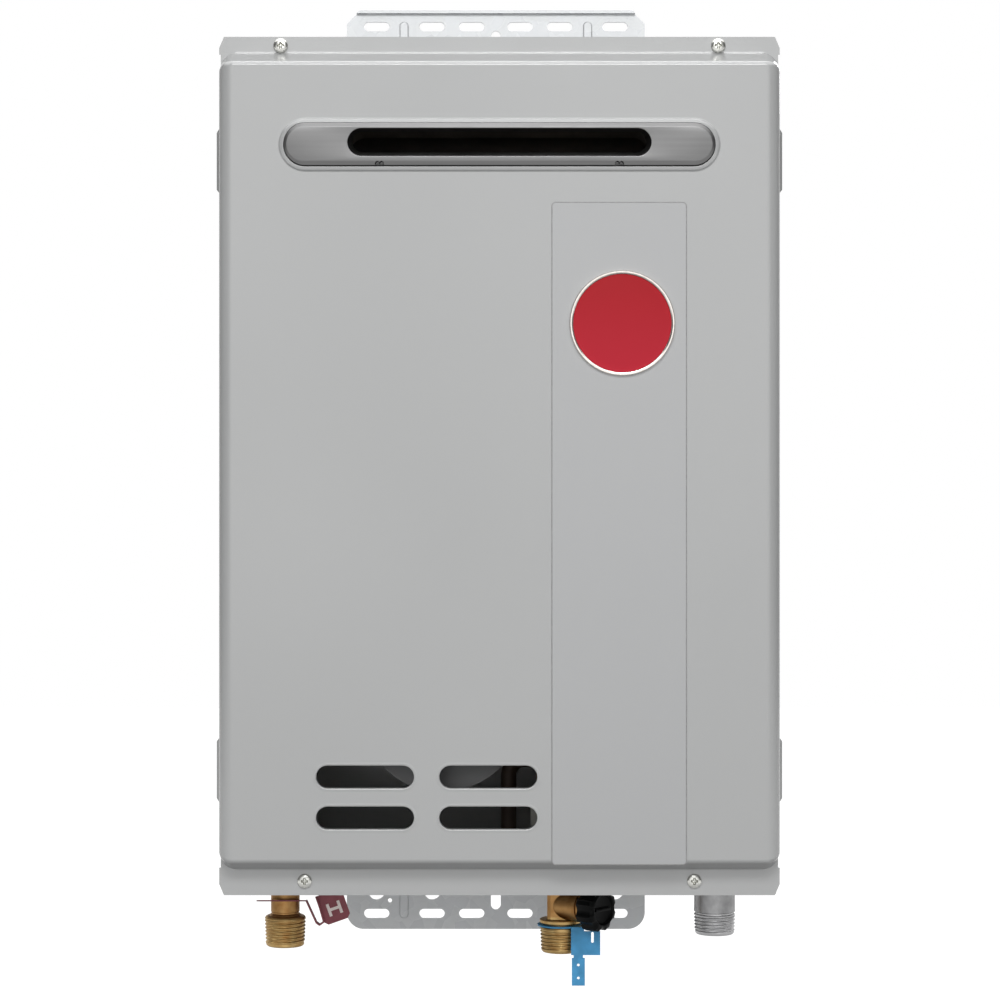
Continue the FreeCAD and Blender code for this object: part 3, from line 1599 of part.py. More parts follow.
def flow_sensor_body():
    """Sensor housing with two cross bars that hold the turbine's pin."""
    body = turned([
        (sensor_bore, sensor_bottom),
        (sensor_radius, sensor_bottom),
        (sensor_radius, sensor_top),
        (sensor_bore, sensor_top),
    ])
    low = sensor_bottom + sensor_bar_inset
    high = sensor_top - sensor_bar_inset
    middle = (low + high) / 2
    parts = [body, rod(turbine_pin, (0, 0, low), (0, 0, high))]
    for z in ((low, low + sensor_bar), (high - sensor_bar, high)):
        parts.append(box((-sensor_bore - 1, sensor_bore + 1), (-1.5, 1.5), z))
    parts.append(box((-sensor_radius - 6, 2 - sensor_radius), (-7, 7), (middle - 6, middle + 6)))
    return fused(parts).translated(V(cold_x, port_y, 0))


def flow_turbine():
    """Turbine with slanted blades, trapped on its pin between the cross bars."""
    inset_z = sensor_bar_inset + sensor_bar + 0.3
    low = sensor_bottom + inset_z
    high = sensor_top - inset_z
    middle = (low + high) / 2
    bore = turbine_pin + shaft_gap
    hub = turned([(bore, low), (3, low), (3, high), (bore, high)])
    parts = [hub]
    for i in range(turbine_blades):
        blade = box((2.5, turbine_radius + 2), (-0.6, 0.6), (-turbine_height / 2, turbine_height / 2))
        blade.rotate(V(0, 0, 0), V(1, 0, 0), 35)
        blade.rotate(V(0, 0, 0), V(0, 0, 1), 360 * i / turbine_blades)
        parts.append(blade.translated(V(0, 0, middle)))
    envelope = tube(turbine_radius, bore, (0, 0, low), (0, 0, high))
    return fused(parts).common(envelope).translated(V(cold_x, port_y, 0))


def water_valve_body():
    """Block that mixes and limits the water, above the flow sensor."""
    wide, deep = valve_block
    x = (cold_x - wide / 2, cold_x + wide / 2)
    body = box(x, (port_y - deep / 2, port_y + deep / 2), (sensor_top, valve_top))
    return body.makeChamfer(4, [edge for edge in body.Edges if edge.BoundBox.ZLength > 10])


def water_valve_motor():
    """Stepping motor on the front of the water valve."""
    y = port_y - valve_block[1] / 2
    middle = (sensor_top + valve_top) / 2
    body = turned([
        (0, 0),
        (valve_motor_radius, 0),
        (valve_motor_radius, valve_motor_length - 4),
        (valve_motor_radius - 2, valve_motor_length),
        (0, valve_motor_length),
    ])
    return aimed(body, (cold_x, y, middle), (0, -1, 0))


def cold_pipe():
    """Pipe from the water valve up to the exchanger tube's union."""
    side = stack_half_width + coil_offset
    points = [(cold_x, port_y, valve_top), (cold_x, port_y, riser_turn_z), (cold_x, riser_y, riser_turn_z)]
    points += [(side, riser_y, riser_turn_z), (side, riser_y, union_z)]
    return pipe(points, water_pipe_radius, water_bend)


def hot_pipe():
    """Pipe from the exchanger down to the hot outlet, with a slight set forwards."""
    row = tube_row_y()[-1]
    points = [(hot_x, port_y, hot_body_top), (hot_x, port_y, hot_set_z[0]), (hot_x, row, hot_set_z[1])]
    points += [(hot_x, row, hot_union_z)]
    return pipe(points, water_pipe_radius, water_bend)


def bypass_pipe():
    """Thin pipe from the water valve across to the hot outlet's boss."""
    x = cold_x - valve_block[0] / 2
    points = [(x, port_y, bypass_port_z), (bypass_drop_x, port_y, bypass_port_z)]
    points += [(bypass_drop_x, port_y, bypass_run_z), (hot_x + bypass_boss_reach, port_y, bypass_run_z)]
    return pipe(points, bypass_radius, bypass_bend)


def pipe_unions():
    """Hexagon nuts at the two ends of the exchanger tube."""
    side = stack_half_width + coil_offset
    nuts = []
    for x, y, z in ((side, riser_y, union_z), (hot_x, tube_row_y()[-1], hot_union_z)):
        corners = []
        for i in range(6):
            turn = math.radians(60 * i)
            corners.append((union_radius * math.cos(turn), union_radius * math.sin(turn), -union_height / 2))
        nut = prism(corners, (0, 0, union_height))
        nut = nut.cut(rod(tube_radius + tube_gap, (0, 0, -union_height), (0, 0, union_height)))
        nuts.append(nut.translated(V(x, y, z)))
    return nuts


# Electrical pieces

def controller_bracket():
    """Bent plate that stands on the bottom panel and carries the controller."""
    t = control_sheet
    floor = -panel_floor
    plate = box(control_x, (control_plate_y, control_plate_y + t), (floor, control_z[1]))
    heel = port_y - collar_width / 2 - control_foot_gap
    foot = box(control_x, (control_plate_y, heel), (floor, floor + t))
    return plate.fuse(foot).removeSplitter()


def controller_case():
    """Open plastic tray with four posts for the board."""
    x = (control_x[0] + control_inset, control_x[1] - control_inset)
    z = (control_z[0], control_z[1] - control_inset)
    w = control_wall
    near = control_plate_y - control_depth
    tray = box(x, (near, control_plate_y), z)
    tray = tray.cut(box((x[0] + w, x[1] - w), (near - 1, control_plate_y - w), (z[0] + w, z[1] - w)))
    for px in (x[0] + 3 * w, x[1] - 3 * w):
        for pz in (z[0] + 3 * w, z[1] - 3 * w):
            tray = tray.fuse(rod(w, (px, control_plate_y - w, pz), (px, board_back(), pz)))
    return tray.removeSplitter()


def board_back():
    """Y of the circuit board's back face."""
    return control_plate_y - control_wall - board_lift


def controller_board():
    """Circuit board with its larger components."""
    gap = control_inset + control_wall + 0.5
    x = (control_x[0] + gap, control_x[1] - gap)
    z = (control_z[0] + control_wall + 0.5, control_z[1] - gap)
    back = board_back()
    front = back - board_thickness
    parts = [box(x, (front, back), z)]
    wide = x[1] - x[0]
    tall = z[1] - z[0]
    for u, v, du, dv, rise in board_blocks:
        left = x[0] + u * wide
        low = z[0] + v * tall
        parts.append(box((left, left + du), (front - rise, front), (low, low + dv)))
    for u, v, radius, rise in board_cans:
        spot = (x[0] + u * wide, front, z[0] + v * tall)
        parts.append(rod(radius, spot, (spot[0], front - rise, spot[2])))
    return fused(parts)


def terminal_block():
    """Supply terminals on the controller's bracket, split by raised walls."""
    near = control_plate_y - terminal_depth
    body = box(terminal_x, (near, control_plate_y), terminal_z)
    pitch = (terminal_x[1] - terminal_x[0]) / terminal_ways
    for i in range(terminal_ways):
        x = terminal_x[0] + pitch * i
        well = ((x + 1.5, x + pitch - 1.5), (near - 1, near + 7), (terminal_z[0] + 3, terminal_z[1] + 1))
        body = body.cut(box(*well))
    return body


def cable_grommets():
    """Rubber grommets for the supply and control cables, the first one bored."""
    floor = -case_end
    grommets = []
    for (x, y), bore in zip(grommet_spots, grommet_bores):
        outer = grommet_radius + grommet_flange
        outline = [(bore, floor - 2.5), (outer - 1, floor - 2.5), (outer, floor), (grommet_radius, floor)]
        outline += [(grommet_radius, -panel_floor), (outer, -panel_floor), (outer - 1, 2 - panel_floor)]
        outline += [(bore, 2 - panel_floor)]
        grommets.append(turned(outline, (x, y, 0)))
    return grommets


def ignition_transformer():
    """High-voltage block on the casing's left wall."""
    wall = sheet - case_side
    body = box((wall, wall + transformer_depth), transformer_y, transformer_z)
    rim = [edge for edge in body.Edges if edge.BoundBox.XMin > wall + 1]
    return body.makeChamfer(3, rim)


def ignition_lead():
    """High-voltage lead from the transformer to the igniter's rod."""
    x = sheet - case_side + transformer_depth / 2
    z = sum(transformer_z) / 2
    end_x = electrode_spot[0] + electrode_offsets[0]
    points = [(x, transformer_y[0], z), (x, lead_y, z), (end_x, lead_y, z)]
    points += [(end_x, lead_y, electrode_spot[1]), (end_x, electrode_end_y, electrode_spot[1])]
    return pipe(points, lead_radius, lead_bend)


NODES = [
    front_cover, cover_screws, cover_gasket, trim_strip, badge_rim, badge_dome,
    case_shell, case_top, case_bottom, top_bracket, bottom_bracket, bracket_screws,
    exhaust_outlet, outlet_gasket, flue_hood, exchanger_shell, fin_pack, exchanger_tube,
    stack_brackets, burner_box, burner_bars, air_plate, sight_glass, electrodes, overheat_switch,
    gas_manifold, manifold_valves, gas_valve_body, gas_valve_coils, gas_pipe, gas_inlet_fitting,
    blower_housing, blower_inlet_plate, blower_impeller, blower_shaft, blower_motor,
    cold_inlet_body, filter_strainer, filter_knob, cold_tag, hot_outlet_fitting, hot_tag,
    fitting_screws, flow_sensor_body, flow_turbine, water_valve_body, water_valve_motor,
    cold_pipe, hot_pipe, bypass_pipe, pipe_unions, controller_bracket, controller_case,
    controller_board, terminal_block, cable_grommets, ignition_transformer, ignition_lead,
]

os.makedirs("parts", exist_ok=True)
for make in NODES:
    made = make()
    if isinstance(made, list):
        made = Part.makeCompound(made)
    made.translated(V(slot_center_left, 0, 0)).exportStep("parts/" + make.__name__ + ".step")
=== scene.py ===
import bpy
import bmesh
import math
import numpy as np
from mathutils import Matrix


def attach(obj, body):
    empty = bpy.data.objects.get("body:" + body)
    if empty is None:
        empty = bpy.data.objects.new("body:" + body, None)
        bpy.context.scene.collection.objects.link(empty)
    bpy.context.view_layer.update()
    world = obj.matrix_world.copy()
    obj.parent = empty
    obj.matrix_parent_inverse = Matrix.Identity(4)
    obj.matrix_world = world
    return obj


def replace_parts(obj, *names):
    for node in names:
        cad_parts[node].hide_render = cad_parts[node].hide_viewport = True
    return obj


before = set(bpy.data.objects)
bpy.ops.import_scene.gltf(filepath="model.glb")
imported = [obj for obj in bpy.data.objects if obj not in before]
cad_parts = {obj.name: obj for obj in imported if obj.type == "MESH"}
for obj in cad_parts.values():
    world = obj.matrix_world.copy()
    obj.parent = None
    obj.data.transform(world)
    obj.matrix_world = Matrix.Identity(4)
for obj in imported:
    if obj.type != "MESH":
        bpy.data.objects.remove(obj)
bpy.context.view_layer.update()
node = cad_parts


# Camera
# Level and straight at the middle of the front, 1.6 m from the cover's flanges. A long lens fills the
# picture as the photo does, and colours are shown plainly, without a film's curve.
lens = bpy.data.cameras.new("camera")
lens.lens = 92.25
lens.sensor_width = 36.0
camera = bpy.data.objects.new("camera", lens)
camera.location = (0.00295, -1.817, -0.0212)
camera.rotation_euler = (math.pi / 2, 0, 0)
bpy.context.scene.collection.objects.link(camera)
bpy.context.scene.camera = camera
bpy.context.scene.view_settings.view_transform = "Standard"


# Studio
# White paper all round for the camera, and a room for the light that is brightest in front and, for
# gloss, straight above. A pale floor lies well below the heater. One wide soft lamp stands high in
# front, a narrow one hangs right above, and one behind lights the back.
def worked(nodes, links, operation, first, second):
    """Result of one operation on two values, each a socket or a plain number."""
    made = nodes.new("ShaderNodeMath")
    made.operation = operation
    for value, socket in zip((first, second), made.inputs):
        if isinstance(value, float):
            socket.default_value = value
        else:
            links.new(value, socket)
    return made.outputs[0]


def ranged(nodes, links, value, span, reach=(0.0, 1.0), smooth=False):
    """Value fitted from a span to the reach of the result, in a straight line or smoothly."""
    fit = nodes.new("ShaderNodeMapRange")
    if smooth:
        fit.interpolation_type = "SMOOTHSTEP"
    for end, number in zip(("From Min", "From Max", "To Min", "To Max"), (*span, *reach)):
        fit.inputs[end].default_value = number
    links.new(value, fit.inputs["Value"])
    return fit.outputs["Result"]


def ray_is(nodes, links, kinds):
    """One where a ray is any of these kinds, by the greatest of their flags."""
    rays = nodes.new("ShaderNodeLightPath")
    total = rays.outputs[kinds[0]]
    for kind in kinds[1:]:
        total = worked(nodes, links, "MAXIMUM", total, rays.outputs[kind])
    return total


world = bpy.data.worlds.new("studio")
world.use_nodes = True
bpy.context.scene.world = world
nodes, links = world.node_tree.nodes, world.node_tree.links
paper = nodes["Background"]
paper.inputs["Color"].default_value = (1, 1, 1, 1)
paper.inputs["Strength"].default_value = 1.0
room = nodes.new("ShaderNodeBackground")
way = nodes.new("ShaderNodeTexCoord")
split = nodes.new("ShaderNodeSeparateXYZ")
links.new(way.outputs["Generated"], split.inputs["Vector"])
height = ranged(nodes, links, split.outputs["Z"], (-1.0, 1.0))


def steps(nodes, links, value, stops):
    """Grey that changes along a value from 0 to 1, from (position, grey) pairs."""
    ramp = nodes.new("ShaderNodeValToRGB")
    first, last = ramp.color_ramp.elements
    first.position, last.position = stops[0][0], stops[-1][0]
    first.color = (*[stops[0][1]] * 3, 1)
    last.color = (*[stops[-1][1]] * 3, 1)
    for position, grey in stops[1:-1]:
        ramp.color_ramp.elements.new(position).color = (grey, grey, grey, 1)
    links.new(value, ramp.inputs["Fac"])
    return ramp.outputs["Color"]


def fading(nodes, links, near, far, low):
    """Factor that falls smoothly from one towards the front to a low value past the sides."""
    return ranged(nodes, links, split.outputs["Y"], (near, far), (1.0, low), True)


def product(nodes, links, first, second, scale=1.0):
    """Two values multiplied, and scaled."""
    return worked(nodes, links, "MULTIPLY", worked(nodes, links, "MULTIPLY", first, second), scale)


soft = steps(nodes, links, height, [
    (0.0, 0.05), (0.3, 0.25), (0.5, 0.85), (0.62, 0.8), (0.8, 0.45), (1.0, 0.3)])
soft = product(nodes, links, soft, fading(nodes, links, -0.98, -0.35, 0.14), 2.5)
shine = steps(nodes, links, height, [
    (0.0, 0.12), (0.3, 0.25), (0.42, 0.75), (0.5, 0.9), (0.6, 0.86), (0.68, 0.72), (0.8, 0.35), (1.0, 0.3)])
shine = product(nodes, links, shine, fading(nodes, links, -0.99, -0.75, 0.12), 2.2)
ceiling = steps(nodes, links, height, [(0.0, 0.0), (0.78, 0.0), (0.86, 1.0), (1.0, 1.0)])
shine = worked(nodes, links, "ADD", worked(nodes, links, "MULTIPLY", ceiling, 3.0), shine)
glossy = ray_is(nodes, links, ["Is Glossy Ray"])
chosen = nodes.new("ShaderNodeMix")
links.new(glossy, chosen.inputs["Factor"])
links.new(soft, chosen.inputs["A"])
links.new(shine, chosen.inputs["B"])
links.new(chosen.outputs["Result"], room.inputs["Strength"])
behind = ranged(nodes, links, split.outputs["Y"], (0.3, 0.98), smooth=True)
mirrored = worked(nodes, links, "MULTIPLY", behind, glossy)
shown = ray_is(nodes, links, ["Is Camera Ray", "Is Transmission Ray"])


def shown_as(nodes, links, share, lighting, white, output):
    """White in this share over what lights the scene, linked to the output."""
    both = nodes.new("ShaderNodeMixShader")
    links.new(share, both.inputs["Fac"])
    links.new(lighting.outputs[0], both.inputs[1])
    links.new(white.outputs[0], both.inputs[2])
    links.new(both.outputs[0], nodes[output].inputs["Surface"])


share = worked(nodes, links, "MAXIMUM", shown, mirrored)
shown_as(nodes, links, share, room, paper, "World Output")

sheet = bpy.data.meshes.new("floor")
floor_half, floor_z = 9.0, -0.9
corners = [(x * floor_half, y * floor_half, floor_z) for x, y in ((-1, -1), (1, -1), (1, 1), (-1, 1))]
sheet.from_pydata(corners, [], [(0, 1, 2, 3)])
floor = bpy.data.objects.new("floor", sheet)
bpy.context.scene.collection.objects.link(floor)
floor_look = bpy.data.materials.new("floor_paper")
floor_look.use_nodes = True
nodes, links = floor_look.node_tree.nodes, floor_look.node_tree.links
card = nodes["Principled BSDF"]
card.inputs["Base Color"].default_value = (0.36, 0.36, 0.36, 1)
card.inputs["Roughness"].default_value = 0.9
glow = nodes.new("ShaderNodeEmission")
glow.inputs["Strength"].default_value = 1.12
where = nodes.new("ShaderNodeTexCoord")
apart = nodes.new("ShaderNodeVectorMath")
apart.operation = "LENGTH"
links.new(where.outputs["Object"], apart.inputs[0])
far = ranged(nodes, links, apart.outputs["Value"], (1.4, 2.4), (0.72, 1.0))
dim = ranged(nodes, links, apart.outputs["Value"], (0.6, 2.4), (0.2, 1.0))
shown = product(nodes, links, ray_is(nodes, links, ["Is Camera Ray", "Is Transmission Ray"]), far)
mirrored = product(nodes, links, ray_is(nodes, links, ["Is Glossy Ray"]), dim)
share = worked(nodes, links, "MAXIMUM", shown, mirrored)
shown_as(nodes, links, share, card, glow, "Material Output")
sheet.materials.append(floor_look)


def soft_lamp(name, spot, aim, width, depth, power):
    """Rectangular area lamp that looks from its spot at a point."""
    made = bpy.data.lights.new(name, "AREA")
    made.shape = "RECTANGLE"
    made.size = width
    made.size_y = depth
    made.energy = power
    lamp = bpy.data.objects.new(name, made)
    run = np.array(aim) - np.array(spot)
    flat = math.hypot(run[0], run[1])
    lamp.location = spot
    lamp.rotation_euler = (math.atan2(flat, -run[2]), 0, math.atan2(-run[0], run[1]))
    bpy.context.scene.collection.objects.link(lamp)


soft_lamp("key", (0.0, -2.1, 1.2), (0, -0.2, 0), 1.1, 0.5, 17)
soft_lamp("overhead", (0.0, -0.27, 1.9), (0, -0.2, 0), 1.4, 0.22, 9.0)
soft_lamp("rear", (0.4, 2.9, 1.3), (0, -0.1, 0), 1.8, 1.2, 42)


# Wall brackets
# Two stamped and bent strips of 2 mm galvanised steel, screwed to the casing's back. The zinc has
# frozen in flat crystals, each a little lighter or darker than its neighbours.
def linear(colour):
    """Scene colour of a screen colour from 0 to 255, by the screen's own curve."""
    part = np.array(colour) / 255
    return tuple(np.where(part > 0.04045, ((part + 0.055) / 1.055) ** 2.4, part / 12.92))


def finish(name, colour, roughness, metallic=0.0, gloss=0.5):
    """Material whose plain values sit on its shader's own sockets; 0.5 is a plain gloss."""
    made = bpy.data.materials.new(name)
    made.use_nodes = True
    skin = made.node_tree.nodes["Principled BSDF"]
    skin.inputs["Base Color"].default_value = (*linear(colour), 1)
    skin.inputs["Roughness"].default_value = roughness
    skin.inputs["Metallic"].default_value = metallic
    skin.inputs["Specular IOR Level"].default_value = gloss
    return made


def field(made, scale, detail=2.0, stretch=(1, 1, 1), cells=False):
    """Noise, or flat cells, over the piece's own coordinates, so many to the metre, as 0 to 1."""
    nodes, links = made.node_tree.nodes, made.node_tree.links
    where = nodes.new("ShaderNodeTexCoord")
    fit = nodes.new("ShaderNodeMapping")
    fit.inputs["Scale"].default_value = stretch
    links.new(where.outputs["Object"], fit.inputs["Vector"])
    if cells:
        grain = nodes.new("ShaderNodeTexVoronoi")
        grain.inputs["Scale"].default_value = scale
        links.new(fit.outputs[0], grain.inputs["Vector"])
        apart = nodes.new("ShaderNodeSeparateColor")
        links.new(grain.outputs["Color"], apart.inputs["Color"])
        return apart.outputs["Red"]
    grain = nodes.new("ShaderNodeTexNoise")
    grain.inputs["Scale"].default_value = scale
    grain.inputs["Detail"].default_value = detail
    links.new(fit.outputs[0], grain.inputs["Vector"])
    return grain.outputs["Fac"]


def tint(made, pattern, low, high, span=(0.3, 0.7)):
    """Base colour that runs from one screen colour to another as the pattern rises."""
    nodes, links = made.node_tree.nodes, made.node_tree.links
    ramp = nodes.new("ShaderNodeValToRGB")
    ramp.color_ramp.elements[0].position = span[0]
    ramp.color_ramp.elements[0].color = (*linear(low), 1)
    ramp.color_ramp.elements[1].position = span[1]
    ramp.color_ramp.elements[1].color = (*linear(high), 1)
    links.new(pattern, ramp.inputs["Fac"])
    links.new(ramp.outputs["Color"], nodes["Principled BSDF"].inputs["Base Color"])


def sheen_range(made, pattern, low, high, span=(0.3, 0.7)):
    """Roughness that runs from one value to another as the pattern rises."""
    nodes, links = made.node_tree.nodes, made.node_tree.links
    rough = ranged(nodes, links, pattern, span, (low, high))
    links.new(rough, nodes["Principled BSDF"].inputs["Roughness"])


def relief(made, pattern, rise):
    """Bump of so many metres from the pattern, laid over any relief already there."""
    nodes, links = made.node_tree.nodes, made.node_tree.links
    bump = nodes.new("ShaderNodeBump")
    bump.inputs["Distance"].default_value = rise
    links.new(pattern, bump.inputs["Height"])
    normal = nodes["Principled BSDF"].inputs["Normal"]
    if normal.links:
        links.new(normal.links[0].from_socket, bump.inputs["Normal"])
    links.new(bump.outputs["Normal"], normal)


def dress(names, made):
    """Puts one material on every slot of these pieces of the frame."""
    for name in names:
        for place in node[name].material_slots:
            place.link = "OBJECT"
            place.material = made


galvanised = finish("galvanised_sheet", (198, 200, 201), 0.45, 0.35)
tint(galvanised, field(galvanised, 120, cells=True), (189, 191, 193), (207, 209, 210), (0.0, 1.0))
sheen_range(galvanised, field(galvanised, 120, cells=True), 0.38, 0.52, (0.0, 1.0))
relief(galvanised, field(galvanised, 900), 0.00001)
dress(["top_bracket", "bottom_bracket", "stack_brackets", "controller_bracket"], galvanised)


# Screws
# Zinc-plated pan heads with a cross recess: four in the cover, eight in the wall brackets and six
# under the connections, each cold headed, then thread rolled.
MM = 0.001


def grid_faces(rows, columns, start=0):
    """Quads between neighbouring points of a grid whose columns close on themselves."""
    r = np.arange(rows - 1)[:, None]
    c = np.arange(columns)[None, :]
    after = (c + 1) % columns
    above, below = r * columns, (r + 1) * columns
    quads = np.stack([above + c, above + after, below + after, below + c], -1)
    return quads.reshape(-1, 4) + start


def piece(name, patches, made, body, crease=32):
    """Mesh object of several closed grids of points in millimetres, at the origin, riding on a body.
    Points that meet are merged, faces turned outwards, and edges sharper than the crease kept sharp."""
    points = np.concatenate([patch.reshape(-1, 3) for patch in patches]) * MM
    faces = []
    start = 0
    for patch in patches:
        faces += grid_faces(patch.shape[0], patch.shape[1], start).tolist()
        start += patch.shape[0] * patch.shape[1]
    skin = bpy.data.meshes.new(name)
    skin.from_pydata(points.tolist(), [], faces)
    work = bmesh.new()
    work.from_mesh(skin)
    bmesh.ops.remove_doubles(work, verts=work.verts, dist=2e-7)
    bmesh.ops.dissolve_degenerate(work, edges=work.edges, dist=1e-8)
    bmesh.ops.recalc_face_normals(work, faces=work.faces)
    work.to_mesh(skin)
    work.free()
    skin.shade_smooth()
    skin.set_sharp_from_angle(angle=math.radians(crease))
    made_piece = bpy.data.objects.new(name, skin)
    bpy.context.scene.collection.objects.link(made_piece)
    skin.materials.append(made)
    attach(made_piece, body)
    return made_piece


def aimed(points, spot, axis):
    """Points modelled along +Z from the origin, turned to an axis and moved to a spot."""
    up = np.array(axis, float)
    up /= np.linalg.norm(up)
    side = np.cross((0, 0, 1), up) if abs(up[2]) < 0.9 else np.cross((0, 1, 0), up)
    side /= np.linalg.norm(side)
    return points @ np.array([side, np.cross(up, side), up]) + np.array(spot, float)


def pan_head(shank, length, head, height, recess=0.5, rings=22, columns=64):
    """Screw along +Z, seat at the origin: rings out from the crown over a quarter-ellipse edge and down
    the shank. The crown sinks by a cross whose arms fade out at half the head's radius."""
    rim_share, arm_half, arm_soft, fade_over, sunk = 0.45, 0.13 * head, 0.02 * head, 0.2 * head, 0.8 * height
    reach = np.sin(np.linspace(0, math.pi / 2, rings))[:, None]
    turn = np.linspace(0, 2 * math.pi, columns, endpoint=False)[None, :]
    bulge = np.sqrt(1 - reach ** 2 + 1e-9) * np.ones_like(turn)
    crown = height * (rim_share + (1 - rim_share) * bulge)
    radius = head * reach * np.ones_like(turn)
    across = np.minimum(np.abs(radius * np.cos(turn)), np.abs(radius * np.sin(turn)))
    arm = 1 / (1 + np.exp((across - arm_half) / arm_soft))
    fade = np.clip((recess * head - radius) / fade_over, 0, 1)
    crown = crown - sunk * arm * fade
    rows = [np.stack([radius * np.cos(turn), radius * np.sin(turn), crown], -1)]
    for r, z in ((head, 0.0), (shank, 0.0), (shank, -length), (0.0, -length)):
        ring = np.stack([r * np.cos(turn), r * np.sin(turn), np.full_like(turn, z)], -1)
        rows.append(ring)
    return np.concatenate(rows)


zinc = finish("zinc_plate", (205, 205, 200), 0.24, 1.0)
tint(zinc, field(zinc, 700), (190, 190, 186), (216, 216, 210))
relief(zinc, field(zinc, 2600), 0.000006)

# The casing's middle stands this far to the right of the frame's.
center = 2.6
flange_y = -217.0
top_pair = [(side * 136.6 + center, flange_y, 262.3) for side in (-1, 1)]
bottom_pair = [(side * 121.6 + center, flange_y, -259.0) for side in (-1, 1)]
screw = pan_head(2.1, 12.0, 4.5, 2.6)
heads = [aimed(screw, spot, (0, -1, 0)) for spot in top_pair + bottom_pair]
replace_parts(piece("cover_screw_heads", heads, zinc, "cover"), "cover_screws")

screw = pan_head(2.4, 10.0, 5.0, 2.5)
heads = [aimed(screw, (x, -10.0, z), (0, 1, 0)) for x in (-88, -40, 40, 88) for z in (-257, 257)]
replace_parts(piece("bracket_screw_heads", heads, zinc, "casing"), "bracket_screws")

screw = pan_head(2.1, 3.8, 4.5, 2.6)
hot_x, cold_x, gas_x = -139.3, 39.8, 139.9
port_y, casing_low, beside_port = -150.0, -267.2, 22
heads = [aimed(screw, (x + center + side * beside_port, port_y, casing_low), (0, 0, -1))
         for x in (hot_x, cold_x, gas_x) for side in (-1, 1)]
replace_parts(piece("fitting_screw_heads", heads, zinc, "casing"), "fitting_screws")


# Casing
# Painted steel: one sheet bent round the back and both sides with four pads pressed in it, and two
# end panels. The powder paint has flowed to a faint orange peel.
def painted(name, colour, change=2):
    """Satin powder paint: orange peel a millimetre across, a finer grain, and slow shifts of shade."""
    made = finish(name, colour, 0.2, gloss=1.0)
    low = [value - change for value in colour]
    high = [value + change for value in colour]
    tint(made, field(made, 5, 1.0), low, high)
    sheen_range(made, field(made, 30), 0.18, 0.22)
    relief(made, field(made, 650, 1.0), 0.000012)
    relief(made, field(made, 3200, 1.0), 0.000003)
    return made


case_paint = painted("case_paint", (176, 177, 177))
dress(["case_shell", "case_top", "case_bottom"], case_paint)

rubber = finish("dark_rubber", (38, 38, 40), 0.75)
tint(rubber, field(rubber, 300), (32, 32, 34), (46, 46, 48))
relief(rubber, field(rubber, 1800), 0.00003)
dress(["cable_grommets", "outlet_gasket"], rubber)

foam = finish("foam_strip", (46, 46, 48), 0.95)
tint(foam, field(foam, 900), (30, 30, 32), (60, 60, 62))
relief(foam, field(foam, 1400, 4.0), 0.0002)
dress(["cover_gasket"], foam)


# Combustion stack
# Burner box with its bars and slotted air plate, copper exchanger with its tube and fins, and the
# hood that turns the gas to the outlet. Steel near the flame has gone dull and blue-brown.
inner_steel = finish("inner_steel", (150, 150, 148), 0.42, 0.9)
tint(inner_steel, field(inner_steel, 14, 3.0), (128, 126, 122), (164, 164, 162))
sheen_range(inner_steel, field(inner_steel, 60), 0.34, 0.52)
relief(inner_steel, field(inner_steel, 1200, 1.0, (1, 1, 0.04)), 0.000006)
dress(["burner_box", "air_plate", "blower_impeller"], inner_steel)

hot_steel = finish("heat_dulled_steel", (128, 124, 120), 0.6, 0.2)
tint(hot_steel, field(hot_steel, 22, 3.0), (116, 112, 110), (142, 134, 126))
relief(hot_steel, field(hot_steel, 900), 0.00002)
dress(["flue_hood", "burner_bars"], hot_steel)

copper = finish("copper", (196, 120, 84), 0.34, 1.0)
tint(copper, field(copper, 26, 3.0), (168, 92, 62), (208, 134, 98))
sheen_range(copper, field(copper, 70), 0.26, 0.46)
relief(copper, field(copper, 1100), 0.000008)
dress(["exchanger_shell", "exchanger_tube", "cold_pipe", "hot_pipe"], copper)

# The bypass pipe, seen through the intake slots, is coloured dark brown: painted shade for the casing's dark
# inside.
bypass_shade_copper = finish("bypass_shade_copper", (74, 62, 54), 0.6, 0.3)
tint(bypass_shade_copper, field(bypass_shade_copper, 40, 3.0), (62, 52, 46), (86, 72, 62))
relief(bypass_shade_copper, field(bypass_shade_copper, 1100), 0.000008)
dress(["bypass_pipe"], bypass_shade_copper)

# Each fin is a thin plate whose low and high edges rise and sink in five cosine waves over its depth.
fin_half, fin_thick, fin_pitch = 103.0, 0.35, 2.9
low, high, near, far = 100.0, 150.0, -178.4, -51.6
along = np.linspace(0, 1, 23)
crest = 1.6 * (0.5 - 0.5 * np.cos(2 * math.pi * 5 * along))
edge_y = near + (far - near) * along
outline = np.concatenate([
    np.stack([edge_y, low + crest], -1),
    np.stack([edge_y[::-1], high - crest[::-1]], -1),
])
middle = np.array([(near + far) / 2, (low + high) / 2])
blades = []
for x in np.arange(-fin_half, fin_half, fin_pitch):
    rows = []
    for share, side in ((0, -1), (1, -1), (1, 1), (0, 1)):
        yz = middle + share * (outline - middle)
        rows.append(np.stack([np.full(len(yz), x + center + side * fin_thick / 2), yz[:, 0], yz[:, 1]], -1))
    blades.append(np.stack(rows))
fins = piece("exchanger_fins", blades, copper, "casing")
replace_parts(fins, "fin_pack")

ceramic = finish("ceramic", (226, 222, 212), 0.4)
tint(ceramic, field(ceramic, 200), (214, 208, 196), (234, 231, 222))
relief(ceramic, field(ceramic, 1500), 0.00001)
dress(["electrodes"], ceramic)

glass = finish("sight_glass", (70, 82, 90), 0.08)
tint(glass, field(glass, 120), (60, 70, 78), (84, 98, 106))
dress(["sight_glass"], glass)
